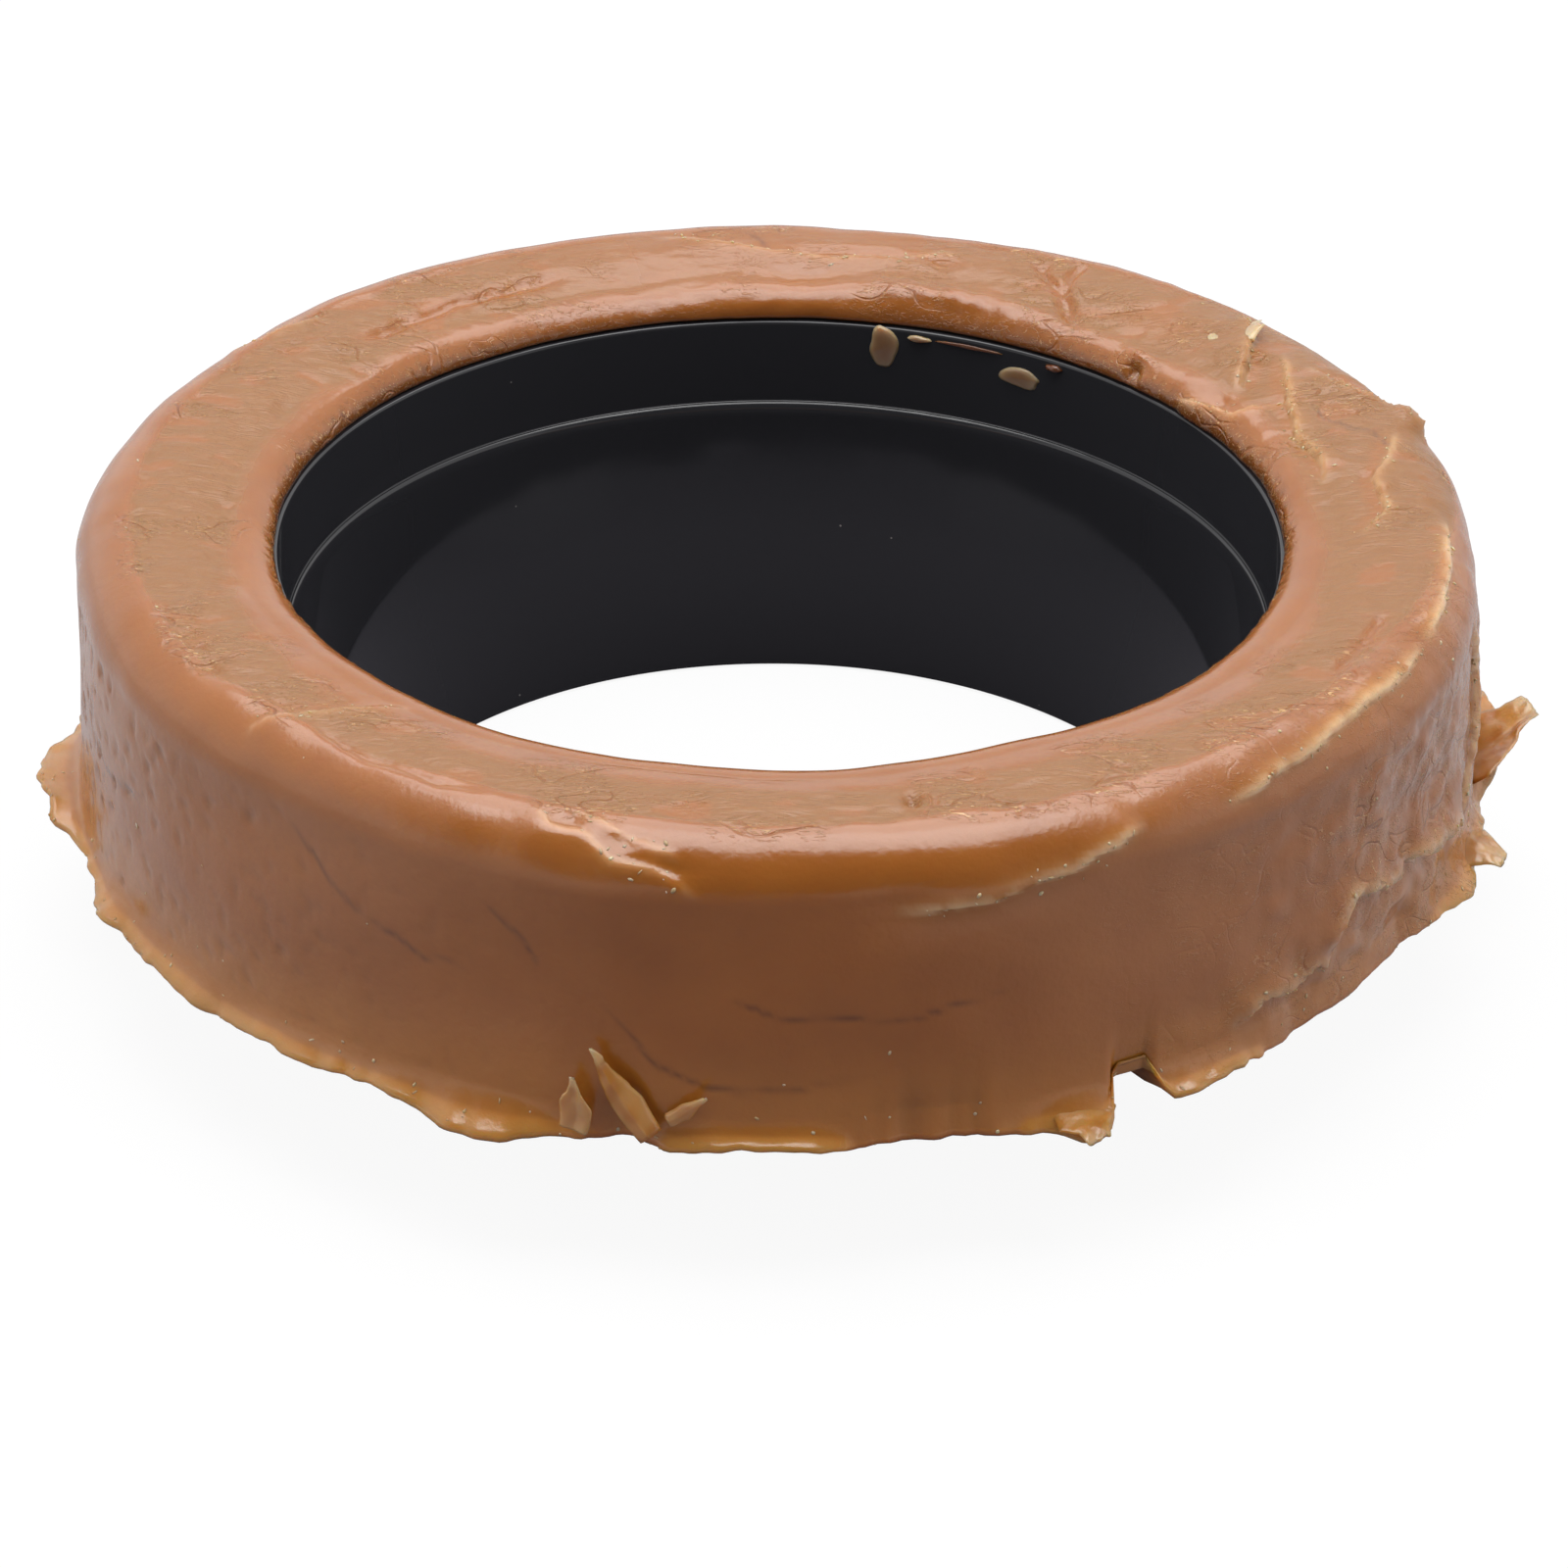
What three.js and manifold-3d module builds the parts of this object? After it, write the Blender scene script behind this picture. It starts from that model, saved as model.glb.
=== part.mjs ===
// Toilet pan seal: a ring of petroleum wax cast round a black plastic sleeve.
// Millimetres, +Z up. The origin is on the bore's axis, on the plane of the horn's lower end, and the front
// is -Y. The sleeve's rim is at the top of the bore, its collar is buried in the wax and its horn hangs below.
import * as THREE from "three";
import { mergeVertices } from "three/addons/utils/BufferGeometryUtils.js";
import Module from "manifold-3d";

// Sleeve
const RIM_BORE_R = 45; // bore radius at the rim
const RIM_WALL = 1.2;
const RIM_ROUND = 0.35; // corner cut on the rim and on the horn's end
const SLEEVE_HEIGHT = 36; // from the horn's end to the rim
const SPIGOT_HEIGHT = 9.5; // from the rim down to the step's lower edge
const SPIGOT_DRAFT = 0.3; // radius lost down the spigot
const STEP_HEIGHT = 1.1;
const STEP_DEPTH = 0.7; // radius lost at the step
const NECK_HEIGHT = 6; // nearly straight wall below the step
const NECK_DRAFT = 0.5;
const HORN_TAPER = 2.8; // radius lost from the neck to the horn's end
const HORN_WALL = 1.5;
const COLLAR_WIDTH = 8.8; // from the spigot's outside to the collar's edge
const COLLAR_THICKNESS = 1.6;
const COLLAR_EDGE_ROUND = 0.4;

// Wax
const SEAT_GAP = 0.3; // between the wax and the sleeve
const WAX_WIDTH = 17.2; // from the spigot side to the foot of the outer wall
const WAX_DEPTH = 23.3; // from the rim down to the underside
const CREST_RISE = 4.1; // from the rim up to the crest
const CREST_WIDTH = 2; // flat land that the pan presses on
const SHOULDER_ROUND = 5;
const WALL_LEAN = 0.9; // radius lost from the foot of the wall to the shoulder
const WALL_FLARE = 3; // height over which the wall's foot runs out into the skirt
const BROW_RISE = 3.1; // from the rim up to the inner end of the top
const BROW_ROUND = 4;
const LIP_OVERHANG = 0.9; // how far the wax creeps in over the top of the rim
const LUMP = 0.35; // height of the hand-poured unevenness
const TORN_RIDGE_LIFT = 1;

// Skirt of thin wax that ran out over the mould's edge
const SKIRT_ROOT = 1.3; // thickness where it leaves the wall
const SKIRT_TIP = 0.7;
const SKIRT_REACH = 1.7; // usual reach past the wall
const SKIRT_WAVE = 0.55;
const SKIRT_LEAST = -0.9; // where it is torn away the foot is dented too
const SKIRT_FOOT = 2; // the underside's flat ends this far inside the wall
// Places where the skirt is wider, or torn away. Angles are degrees, reach is added and lift raises the tip.
const SKIRT_PLACES = [
  { name: "left edge", at: 170, half: 18, reach: 2.4, lift: 1.4 },
  { name: "left roll", at: 247, half: 8, reach: 1, lift: -0.5 },
  { name: "tear beside the tag", at: 259, half: 4, reach: -2, lift: 0.3 },
  { name: "front gap", at: 280, half: 9, reach: -2.2, lift: 0 },
  { name: "notch", at: 297.5, half: 3.5, reach: -2.6, lift: 1.2 },
  { name: "right bare length", at: 321, half: 18, reach: -3, lift: 0 },
  { name: "right edge", at: 4, half: 14, reach: 2.4, lift: 1.6 },
];
const SKIRT_TEETH = [
  { count: 17, share: 0.8, turn: 0.2 },
  { count: 29, share: 0.7, turn: 0.55 },
  { count: 47, share: 0.4, turn: 0.85 },
];
const TORN_RIDGE = { at: 330, half: 36 };

// Torn pieces that stand off the ring, each at an angle round it, a distance out from the wall's foot and a
// height above the underside. Rise 0 points outwards and 90 upwards. A slant leans a piece round the ring.
const TORN_PIECES = [
  { name: "front tag", at: 260.3, out: 0, up: 1.4, length: 9, width: 3.2, rise: 74, slant: -38 },
  { name: "left flap", at: 181, out: 0.2, up: 1.2, length: 5.4, width: 13, rise: 36, slant: -10 },
  { name: "left flap's foot", at: 195, out: 0, up: 0.9, length: 3, width: 9, rise: 12, slant: 14 },
  { name: "right flap", at: 359, out: 0.3, up: 1.2, length: 5.8, width: 13, rise: 40, slant: 12 },
  { name: "right curl", at: 345, out: 0, up: 1.2, length: 3.8, width: 7, rise: 20, slant: -12 },
  { name: "right lip", at: 333, out: -0.8, up: 4.6, length: 3, width: 12, rise: 48, slant: 8 },
  { name: "low lip", at: 319, out: -0.6, up: 2.4, length: 2.6, width: 12, rise: 35, slant: -8 },
  { name: "front lobe", at: 292, out: -0.2, up: 0.9, length: 3, width: 6, rise: -16, slant: 14 },
  { name: "back flap", at: 34, out: -8.6, up: 26.4, length: 2.4, width: 4, rise: 55, slant: 10 },
];
const PIECE_THICKNESS = 0.8;
const PIECE_BURY = 0.9; // depth of a torn piece's root in the ring
// A torn piece's edge, as shares of its width and length: out along one side to the tip, then back
const PIECE_OUTLINE = [
  [0.5, 0.1],
  [0.4, 0.45],
  [0.22, 0.62],
  [0.12, 1],
  [-0.1, 0.8],
  [-0.28, 0.84],
  [-0.42, 0.4],
  [-0.5, 0.1],
];

const SLEEVE_SEGMENTS = 96;
const WAX_SEGMENTS = 168;
const ARC_STEPS = 4;

// Heights and radii that follow from the driving sizes
const rimZ = SLEEVE_HEIGHT;
const stepZ = rimZ - SPIGOT_HEIGHT;
const neckZ = stepZ - NECK_HEIGHT;
const spigotFootR = RIM_BORE_R - SPIGOT_DRAFT;
const stepR = spigotFootR - STEP_DEPTH;
const neckR = stepR - NECK_DRAFT;
const hornEndR = neckR - HORN_TAPER;
const spigotOuterR = RIM_BORE_R + RIM_WALL;
const collarR = spigotOuterR + COLLAR_WIDTH;
const collarTopZ = stepZ;
const collarFootZ = collarTopZ - COLLAR_THICKNESS;

const undersideZ = rimZ - WAX_DEPTH;
const waxInnerR = spigotOuterR + SEAT_GAP;
const wallFootR = waxInnerR + WAX_WIDTH;
const shoulderR = wallFootR - WALL_LEAN;
const crestZ = rimZ + CREST_RISE;
const crestOuterR = shoulderR - SHOULDER_ROUND;
const crestInnerR = crestOuterR - CREST_WIDTH;
const browZ = rimZ + BROW_RISE;
const lipR = spigotOuterR - LIP_OVERHANG;
const lipZ = rimZ + SEAT_GAP;
const browR = lipR + BROW_ROUND;

const turned = (degrees) => THREE.MathUtils.degToRad(degrees);

// Outer radius of the horn at a height between its end and the neck.
function hornOuterR(z) {
  return THREE.MathUtils.mapLinear(z, 0, neckZ, hornEndR, neckR) + HORN_WALL;
}

// The sleeve is turned from one closed section: bore going up, rim, then the outside going down.
function sleeveGeometry() {
  const section = [
    [hornEndR + RIM_ROUND, 0],
    [hornEndR + HORN_WALL - RIM_ROUND, 0],
    [hornEndR + HORN_WALL, RIM_ROUND],
    [neckR + HORN_WALL, neckZ],
    [stepR + HORN_WALL, collarFootZ],
    [collarR - COLLAR_EDGE_ROUND, collarFootZ],
    [collarR, collarFootZ + COLLAR_EDGE_ROUND],
    [collarR, collarTopZ - COLLAR_EDGE_ROUND],
    [collarR - COLLAR_EDGE_ROUND, collarTopZ],
    [spigotOuterR, collarTopZ],
    [spigotOuterR, rimZ - RIM_ROUND],
    [spigotOuterR - RIM_ROUND, rimZ],
    [RIM_BORE_R + RIM_ROUND, rimZ],
    [RIM_BORE_R, rimZ - RIM_ROUND],
    [spigotFootR, stepZ + STEP_HEIGHT],
    [stepR, stepZ],
    [neckR, neckZ],
    [hornEndR, RIM_ROUND],
    [hornEndR + RIM_ROUND, 0],
  ].map(([r, z]) => new THREE.Vector2(r, z));
  return new THREE.LatheGeometry(section, SLEEVE_SEGMENTS).rotateX(Math.PI / 2);
}

// A smooth hump of height 1 in the middle that reaches 0 at the half width.
function hump(degrees, at, half) {
  const away = Math.abs(THREE.MathUtils.euclideanModulo(degrees - at + 180, 360) - 180);
  return away < half ? Math.cos((away / half) * (Math.PI / 2)) ** 2 : 0;
}

// A pointed wave between -1 and 1, for torn edges.
function tooth(turns) {
  return 4 * Math.abs(turns - Math.floor(turns + 0.5)) - 1;
}

function skirtReach(degrees) {
  const teeth = SKIRT_TEETH.reduce((sum, t) => sum + t.share * tooth((t.count * degrees) / 360 + t.turn), 0);
  const places = SKIRT_PLACES.reduce((sum, p) => sum + p.reach * hump(degrees, p.at, p.half), 0);
  return Math.max(SKIRT_LEAST, SKIRT_REACH + SKIRT_WAVE * teeth + places);
}

function skirtLift(degrees) {
  const wave = 0.5 * SKIRT_WAVE * Math.sin(11 * turned(degrees));
  return SKIRT_PLACES.reduce((sum, p) => sum + p.lift * hump(degrees, p.at, p.half), wave);
}

// Slow unevenness of the poured surface. High is 0 at the underside and 1 at the crest.
function lump(degrees, high) {
  const a = turned(degrees);
  return LUMP * (0.6 * Math.sin(5 * a + 4 * high) + 0.4 * Math.sin(9 * a - 7 * high));
}

// One closed section of the wax ring at an angle, anticlockwise from the inner end of the underside.
function waxSection(degrees) {
  const reach = skirtReach(degrees);
  const tipZ = undersideZ + skirtLift(degrees);
  const footR = wallFootR + Math.min(0, reach);
  const tipR = footR + Math.max(0.3, reach);
  const section = [
    [hornOuterR(undersideZ) + SEAT_GAP, undersideZ],
    [wallFootR - SKIRT_FOOT, undersideZ],
    [tipR, tipZ],
    [tipR, tipZ + SKIRT_TIP],
    [THREE.MathUtils.lerp(footR, tipR, 0.3), undersideZ + SKIRT_ROOT],
    [footR, undersideZ + WALL_FLARE],
  ];
  const wallTopZ = crestZ - SHOULDER_ROUND;
  for (const share of [0.33, 0.67]) {
    const z = THREE.MathUtils.lerp(undersideZ + WALL_FLARE, wallTopZ, share);
    section.push([THREE.MathUtils.lerp(footR, shoulderR, share) + lump(degrees, share), z]);
  }
  const ridge = TORN_RIDGE_LIFT * hump(degrees, TORN_RIDGE.at, TORN_RIDGE.half);
  for (let i = 0; i < ARC_STEPS; i++) {
    const turn = (Math.PI / 2) * (i / ARC_STEPS);
    const radius = SHOULDER_ROUND + lump(degrees, 1) + (i === 2 ? ridge : 0);
    section.push([
      crestOuterR + radius * Math.cos(turn),
      crestZ - SHOULDER_ROUND + radius * Math.sin(turn),
    ]);
  }
  section.push([crestOuterR, crestZ], [crestInnerR, crestZ]);
  for (let i = 0; i <= ARC_STEPS; i++) {
    const turn = (Math.PI / 2) * (1 + i / ARC_STEPS);
    const dent = lump(degrees + 40, 1) * Math.sin(turn);
    section.push([browR + BROW_ROUND * Math.cos(turn), lipZ + (browZ - lipZ) * Math.sin(turn) + dent]);
  }
  section.push(
    [waxInnerR, lipZ],
    [waxInnerR, collarTopZ + SEAT_GAP],
    [collarR + SEAT_GAP, collarTopZ + SEAT_GAP],
    [collarR + SEAT_GAP, collarFootZ - SEAT_GAP],
    [stepR + HORN_WALL + SEAT_GAP, collarFootZ - SEAT_GAP],
    [neckR + HORN_WALL + SEAT_GAP, neckZ],
  );
  return section;
}

// Joins the sections at even angles into one closed ring.
function ringGeometry(sectionAt, segments) {
  const positions = [];
  for (let i = 0; i < segments; i++) {
    const a = (2 * Math.PI * i) / segments;
    for (const [r, z] of sectionAt((360 * i) / segments)) {
      positions.push(r * Math.cos(a), r * Math.sin(a), z);
    }
  }
  const count = positions.length / 3 / segments;
  const index = [];
  for (let i = 0; i < segments; i++) {
    const here = i * count;
    const next = ((i + 1) % segments) * count;
    for (let k = 0; k < count; k++) {
      const m = (k + 1) % count;
      index.push(here + k, next + k, next + m, here + k, next + m, here + m);
    }
  }
  const geometry = new THREE.BufferGeometry();
  geometry.setAttribute("position", new THREE.Float32BufferAttribute(positions, 3));
  geometry.setIndex(index);
  return geometry;
}

// A thin torn piece with its root buried in the ring.
function tornPiece(piece) {
  const outline = new THREE.Shape();
  outline.moveTo(piece.width * 0.4, -PIECE_BURY);
  for (const [across, away] of PIECE_OUTLINE) {
    outline.lineTo(piece.width * across, piece.length * away);
  }
  outline.lineTo(-piece.width * 0.4, -PIECE_BURY);
  outline.closePath();
  const leaf = new THREE.ExtrudeGeometry(outline, { depth: PIECE_THICKNESS, bevelEnabled: false });
  leaf.translate(0, 0, -PIECE_THICKNESS / 2);
  leaf.rotateZ(turned(piece.slant));
  leaf.rotateX(turned(piece.rise));
  leaf.translate(0, wallFootR + piece.out, undersideZ + piece.up);
  leaf.rotateZ(turned(piece.at - 90));
  return leaf;
}

const wasm = await Module();
wasm.setup();

function solidFrom(geometry) {
  const bare = geometry.clone();
  bare.deleteAttribute("normal");
  bare.deleteAttribute("uv");
  const merged = mergeVertices(bare);
  return new wasm.Manifold(
    new wasm.Mesh({
      numProp: 3,
      vertProperties: merged.attributes.position.array,
      triVerts: new Uint32Array(merged.index.array),
    }),
  );
}

function geometryFrom(solid) {
  const mesh = solid.getMesh();
  const geometry = new THREE.BufferGeometry();
  geometry.setAttribute("position", new THREE.BufferAttribute(mesh.vertProperties, 3));
  geometry.setIndex(new THREE.BufferAttribute(mesh.triVerts, 1));
  geometry.computeVertexNormals();
  return geometry;
}

function named(name, geometry, material) {
  const mesh = new THREE.Mesh(geometry, material);
  mesh.name = name;
  return mesh;
}

const wax = new THREE.MeshStandardMaterial({ color: 0xb87a48, roughness: 0.32, metalness: 0 });
const blackPlastic = new THREE.MeshStandardMaterial({ color: 0x141416, roughness: 0.22, metalness: 0 });

const waxRing = wasm.Manifold.union([
  solidFrom(ringGeometry(waxSection, WAX_SEGMENTS)),
  ...TORN_PIECES.map((piece) => solidFrom(tornPiece(piece))),
]);

const seal = new THREE.Group();
seal.name = "toilet_pan_seal";
seal.add(named("horn_sleeve", sleeveGeometry(), blackPlastic));
seal.add(named("wax_ring", geometryFrom(waxRing), wax));

export default seal;
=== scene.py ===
import math

import bpy
import numpy as np
from mathutils import Matrix, Vector, noise


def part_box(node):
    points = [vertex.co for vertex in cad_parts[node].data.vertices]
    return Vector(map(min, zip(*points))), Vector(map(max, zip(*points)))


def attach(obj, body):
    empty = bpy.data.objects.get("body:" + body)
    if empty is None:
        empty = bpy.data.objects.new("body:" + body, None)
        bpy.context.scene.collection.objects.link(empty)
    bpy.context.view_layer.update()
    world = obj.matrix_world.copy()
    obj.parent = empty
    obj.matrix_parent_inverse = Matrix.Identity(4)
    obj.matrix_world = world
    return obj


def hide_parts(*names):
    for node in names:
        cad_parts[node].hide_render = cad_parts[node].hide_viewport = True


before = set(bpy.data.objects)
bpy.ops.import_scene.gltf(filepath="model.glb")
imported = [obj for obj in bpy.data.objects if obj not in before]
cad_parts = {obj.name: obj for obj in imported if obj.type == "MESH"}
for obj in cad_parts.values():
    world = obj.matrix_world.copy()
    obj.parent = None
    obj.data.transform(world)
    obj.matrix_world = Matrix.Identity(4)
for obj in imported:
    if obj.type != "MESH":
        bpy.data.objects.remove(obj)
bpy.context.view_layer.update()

# Toilet pan seal: a ring of petroleum wax poured round a black plastic sleeve.
# Sizes are in millimetres, as in the part's source, and become metres when a mesh is made.
MM = 0.001

# Sleeve, with the frame's heights
HORN_FOOT_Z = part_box("horn_sleeve")[0][2] / MM
RIM_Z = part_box("horn_sleeve")[1][2] / MM
RIM_BORE_R = 45
RIM_WALL = 1.2
SPIGOT_HEIGHT = 9.5
SPIGOT_DRAFT = 0.3
STEP_HEIGHT = 1.1
STEP_DEPTH = 0.7
NECK_HEIGHT = 6
NECK_DRAFT = 0.5
HORN_TAPER = 2.8
HORN_WALL = 1.5
COLLAR_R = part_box("horn_sleeve")[1][0] / MM
COLLAR_THICKNESS = 1.6
EDGE_ROUND = 0.35
STEP_ROUND = 0.3
STEP_TOP_ROUND = 0.15
STEP_FOOT_ROUND = 0.4
NECK_ROUND = 5
STEP_LEDGE = 0.42
STEP_FALL = 0.1
SLEEVE_STEPS = 288

# Wax
SEAT_GAP = 0.3
WAX_WIDTH = 17.2
WAX_DEPTH = 23.3
CREST_RISE = 4.1
CREST_WIDTH = 2
SHOULDER_ROUND = 5
WALL_LEAN = 0.9
WALL_FLARE = 3
BROW_RISE = 3.1
BROW_ROUND = 4
LIP_OVERHANG = 0.9
LUMP = 0.35
SKIRT_ROOT = 1.3
SKIRT_TIP = 0.5
SKIRT_REACH = 1.25
SKIRT_WAVE = 0.55
SKIRT_LEAST = -0.9
SKIRT_HIGHEST = 3.3
SKIRT_FOOT = 2
SKIRT_HOLLOW = 3.4
# Share of the thin amber colour at the wall's foot: a painted glow of light through the wax
WALL_FOOT_PAINTED_GLOW = 0.16
RING_STEPS = 760

step_z = RIM_Z - SPIGOT_HEIGHT
neck_z = step_z - NECK_HEIGHT
spigot_foot_r = RIM_BORE_R - SPIGOT_DRAFT
step_r = spigot_foot_r - STEP_DEPTH
neck_r = step_r - NECK_DRAFT
horn_end_r = neck_r - HORN_TAPER
spigot_outer_r = RIM_BORE_R + RIM_WALL
collar_foot_z = step_z - COLLAR_THICKNESS

underside_z = RIM_Z - WAX_DEPTH
wax_inner_r = spigot_outer_r + SEAT_GAP
wall_foot_r = wax_inner_r + WAX_WIDTH
shoulder_r = wall_foot_r - WALL_LEAN
crest_z = RIM_Z + CREST_RISE
crest_outer_r = shoulder_r - SHOULDER_ROUND
crest_inner_r = crest_outer_r - CREST_WIDTH
lip_r = spigot_outer_r - LIP_OVERHANG
lip_z = RIM_Z + SEAT_GAP
brow_r = lip_r + BROW_ROUND
brow_z = RIM_Z + BROW_RISE

# Places where the skirt is wider or torn away: angle, half width, change of reach, lift of the tip
SKIRT_PLACES = [
    {"name": "left edge", "at": 188, "half": 15, "reach": 2.3, "lift": 1.9},
    {"name": "left roll", "at": 247, "half": 8, "reach": 1, "lift": -0.5},
    {"name": "tear beside the tag", "at": 259, "half": 4, "reach": -2, "lift": 0.3},
    {"name": "front gap", "at": 280, "half": 9, "reach": -2.2, "lift": 0},
    {"name": "notch", "at": 297.6, "half": 2.9, "reach": -5, "lift": 5.5},
    {"name": "lobe beside the notch", "at": 293.2, "half": 3.4, "reach": 2.2, "lift": -0.8},
    {"name": "right bare length", "at": 321, "half": 18, "reach": -3, "lift": 0},
    {"name": "right edge", "at": 4, "half": 14, "reach": 2.4, "lift": 1.6},
]
SKIRT_TEETH = [
    {"count": 11, "share": 0.7, "turn": 0.2},
    {"count": 19, "share": 0.5, "turn": 0.55},
    {"count": 31, "share": 0.2, "turn": 0.85},
]

# Band of the top that the packing paper pressed flat and matt: distances over the wax from the lip
BAND_INNER_BACK = 3
BAND_INNER_FRONT = 7.2
BAND_OUTER = 14.4
BAND_SPILL = 4.5
BAND_DEPTH = 0.22
BAND_INNER_SOFT = 2.2
BAND_OUTER_SOFT = 0.8
POOL_DEPTH = 0.08
LIP_COLUMNS = 14
TOP = ("brow", "top", "shoulder")

# Noises that the wax is worked with: height in mm or as a share, width of a bump in mm, for all axes or for
# each, and seed
NOISES = {
    "tatters": {"height": 1.1, "size": 6.5, "seed": 11},
    "small tatters": {"height": 0.45, "size": 1.7, "seed": 12},
    "skirt's waves": {"height": 0.4, "size": 5, "seed": 13},
    "skirt's small waves": {"height": 0.15, "size": 1.6, "seed": 14},
    "slow swells": {"height": 0.3, "size": 14, "seed": 21},
    "small lumps": {"height": 0.14, "size": 5, "seed": 22},
    "fray": {"height": 0.4, "size": 3.6, "seed": 31},
    "groove's wander": {"height": 0.5, "size": 2.4, "seed": 41},
    "crack's wander": {"height": 0.6, "size": 3, "seed": 51},
    "dent's unevenness": {"height": 0.5, "size": 1.5, "seed": 55},
    "leaf's blotches": {"height": 1, "size": 1.6, "seed": 57},
    "band's calm places": {"height": 1, "size": 7, "seed": 60},
    "band's wander": {"height": 0.9, "size": 9, "seed": 61},
    "band's small wander": {"height": 0.5, "size": 2.4, "seed": 62},
    "wrinkles": {"height": 0.16, "size": (3.4, 2.2, 2.2), "seed": 63},
    "small wrinkles": {"height": 0.07, "size": (1.9, 1.1, 1.1), "seed": 64},
    "pools": {"height": 1, "size": (4.5, 2.6, 3), "seed": 65},
    "clusters of creases": {"height": 1, "size": 6, "seed": 66},
    "slope's lumps": {"height": 0.2, "size": 6, "seed": 67},
    "slope's ridges": {"height": 0.07, "size": (3, 1.6, 1.6), "seed": 68},
    "bristles": {"height": 1, "size": 0.7, "seed": 69},
    "dashes": {"height": 1, "size": (1.1, 1.1, 1.4), "seed": 71},
    "crumples": {"height": 0.26, "size": (2.6, 2.6, 2.2), "seed": 72},
    "small crumples": {"height": 0.18, "size": (1.3, 1.3, 1.5), "seed": 73},
    "folds": {"height": 0.42, "size": (7, 7, 3.6), "seed": 74},
    "small folds": {"height": 0.22, "size": (3.4, 3.4, 2.6), "seed": 75},
    "wall's creases": {"height": 1, "size": 4, "seed": 76},
    "small fray": {"height": 0.16, "size": 1, "seed": 81},
    "broken lip": {"height": 1.6, "size": 1.8, "seed": 91},
    "broken crack": {"height": 1.2, "size": 2.5, "seed": 151},
}

# Marks on the surface are placed by an angle and by the distance over the wax from the lip, outwards and
# down.

# Torn edges of the outer skin of wax. The skin stands proud on the right of the line's direction by the
# height, which fades over the spread, and pale is how whitish its lip is: whitish torn wax, and partly a
# painted highlight along the lip's top edge.
TORN_EDGES = [
    {"name": "upper right ridge", "pale": 0.8, "height": 0.55, "spread": 2.2, "line": [(357.5, 16),
     (351, 16.2), (344.5, 16.7), (341, 16.7), (334.5, 17.1)]},
    {"name": "lower right ridge", "pale": 0.9, "height": 0.7, "spread": 2.6, "line": [(335, 16.9),
     (330, 17.7), (326, 17.3), (320, 17.5), (315.5, 18.2), (310, 18.8), (305.5, 19.6)]},
    {"name": "front rip", "pale": 0.75, "height": 0.6, "spread": 2.5, "line": [(299, 18.9), (296.5, 19.9),
     (293.5, 20.6), (289.5, 21.4), (283.5, 22.5), (278, 22.9)]},
    {"name": "back plate", "pale": 0.2, "height": 0.9, "spread": 2.5, "line": [(41.5, 16.6), (37.5, 12.8),
     (35, 10.5), (32, 8), (29, 5.2)]},
    {"name": "curl at the bore", "pale": 0.35, "height": 0.8, "spread": 1.8, "line": [(35, 1), (30, 1.8),
     (25, 2.8), (23.5, 6), (21, 9.6)]},
    {"name": "far right step", "pale": 0.25, "height": 0.9, "spread": 2.5, "line": [(29, 12.6), (24, 13.2),
     (21, 14.8), (17.5, 17.4), (13, 18.6)]},
    {"name": "upright flap edge", "pale": 0.6, "height": 0.6, "spread": 2.2, "line": [(344, 41),
     (346.5, 33), (347.5, 27), (345, 20.5)]},
    {"name": "right lip", "pale": 0.9, "height": 1.5, "spread": 2.4, "line": [(342, 37.6), (338, 37),
     (335, 36.6), (331.5, 35.8), (327.5, 34.2)]},
    {"name": "middle right lip", "pale": 0.9, "height": 1.5, "spread": 2.2, "line": [(329, 36), (325, 35.5),
     (321.5, 34.2), (319.5, 33.8), (317.8, 35.5), (317.5, 38)]},
    {"name": "low right lip", "pale": 0.7, "height": 1.2, "spread": 1.8, "line": [(318, 40.2),
     (315.5, 38.4), (313.5, 39.6), (310, 38.6), (306, 40.4)]},
    {"name": "crease across the band", "pale": 0.2, "height": 0.28, "spread": 1.6, "line": [(223.5, 17.6),
     (224.5, 15), (226, 12), (228.5, 8.4), (232, 4)]},
    {"name": "right back plate", "pale": 0.3, "height": 0.6, "spread": 2.4, "line": [(4, 5), (10, 6.4),
     (16, 5.6), (22, 7.4), (27, 9.4), (33, 13)]},
    {"name": "right fold", "pale": 0.25, "height": 0.45, "spread": 2, "line": [(352, 8), (358, 10.5),
     (4, 10), (9, 12.6), (14, 14.6)]},
    {"name": "back fold", "pale": 0.25, "height": 0.4, "spread": 1.8, "line": [(103, 14.2), (97, 11.6),
     (91, 9.4), (84, 8.6), (78, 9.4), (70, 12)]},
    {"name": "gouged skin", "pale": 0.2, "height": 0.35, "spread": 1.2, "line": [(250.5, 14.4),
     (252.5, 16.6), (255.5, 16.9), (258, 18.6), (262, 19.4), (265, 21.2)]},
    {"name": "curl over the gouges", "pale": 0.2, "height": 0.3, "spread": 0.9, "line": [(254, 14.6),
     (256.5, 15.6), (259.5, 17), (263.5, 18.4)]},
    {"name": "left back step", "pale": 0.2, "height": 0.3, "spread": 2, "line": [(152, 16.5), (146, 14.8),
     (139, 13.6)]},
]
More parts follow.
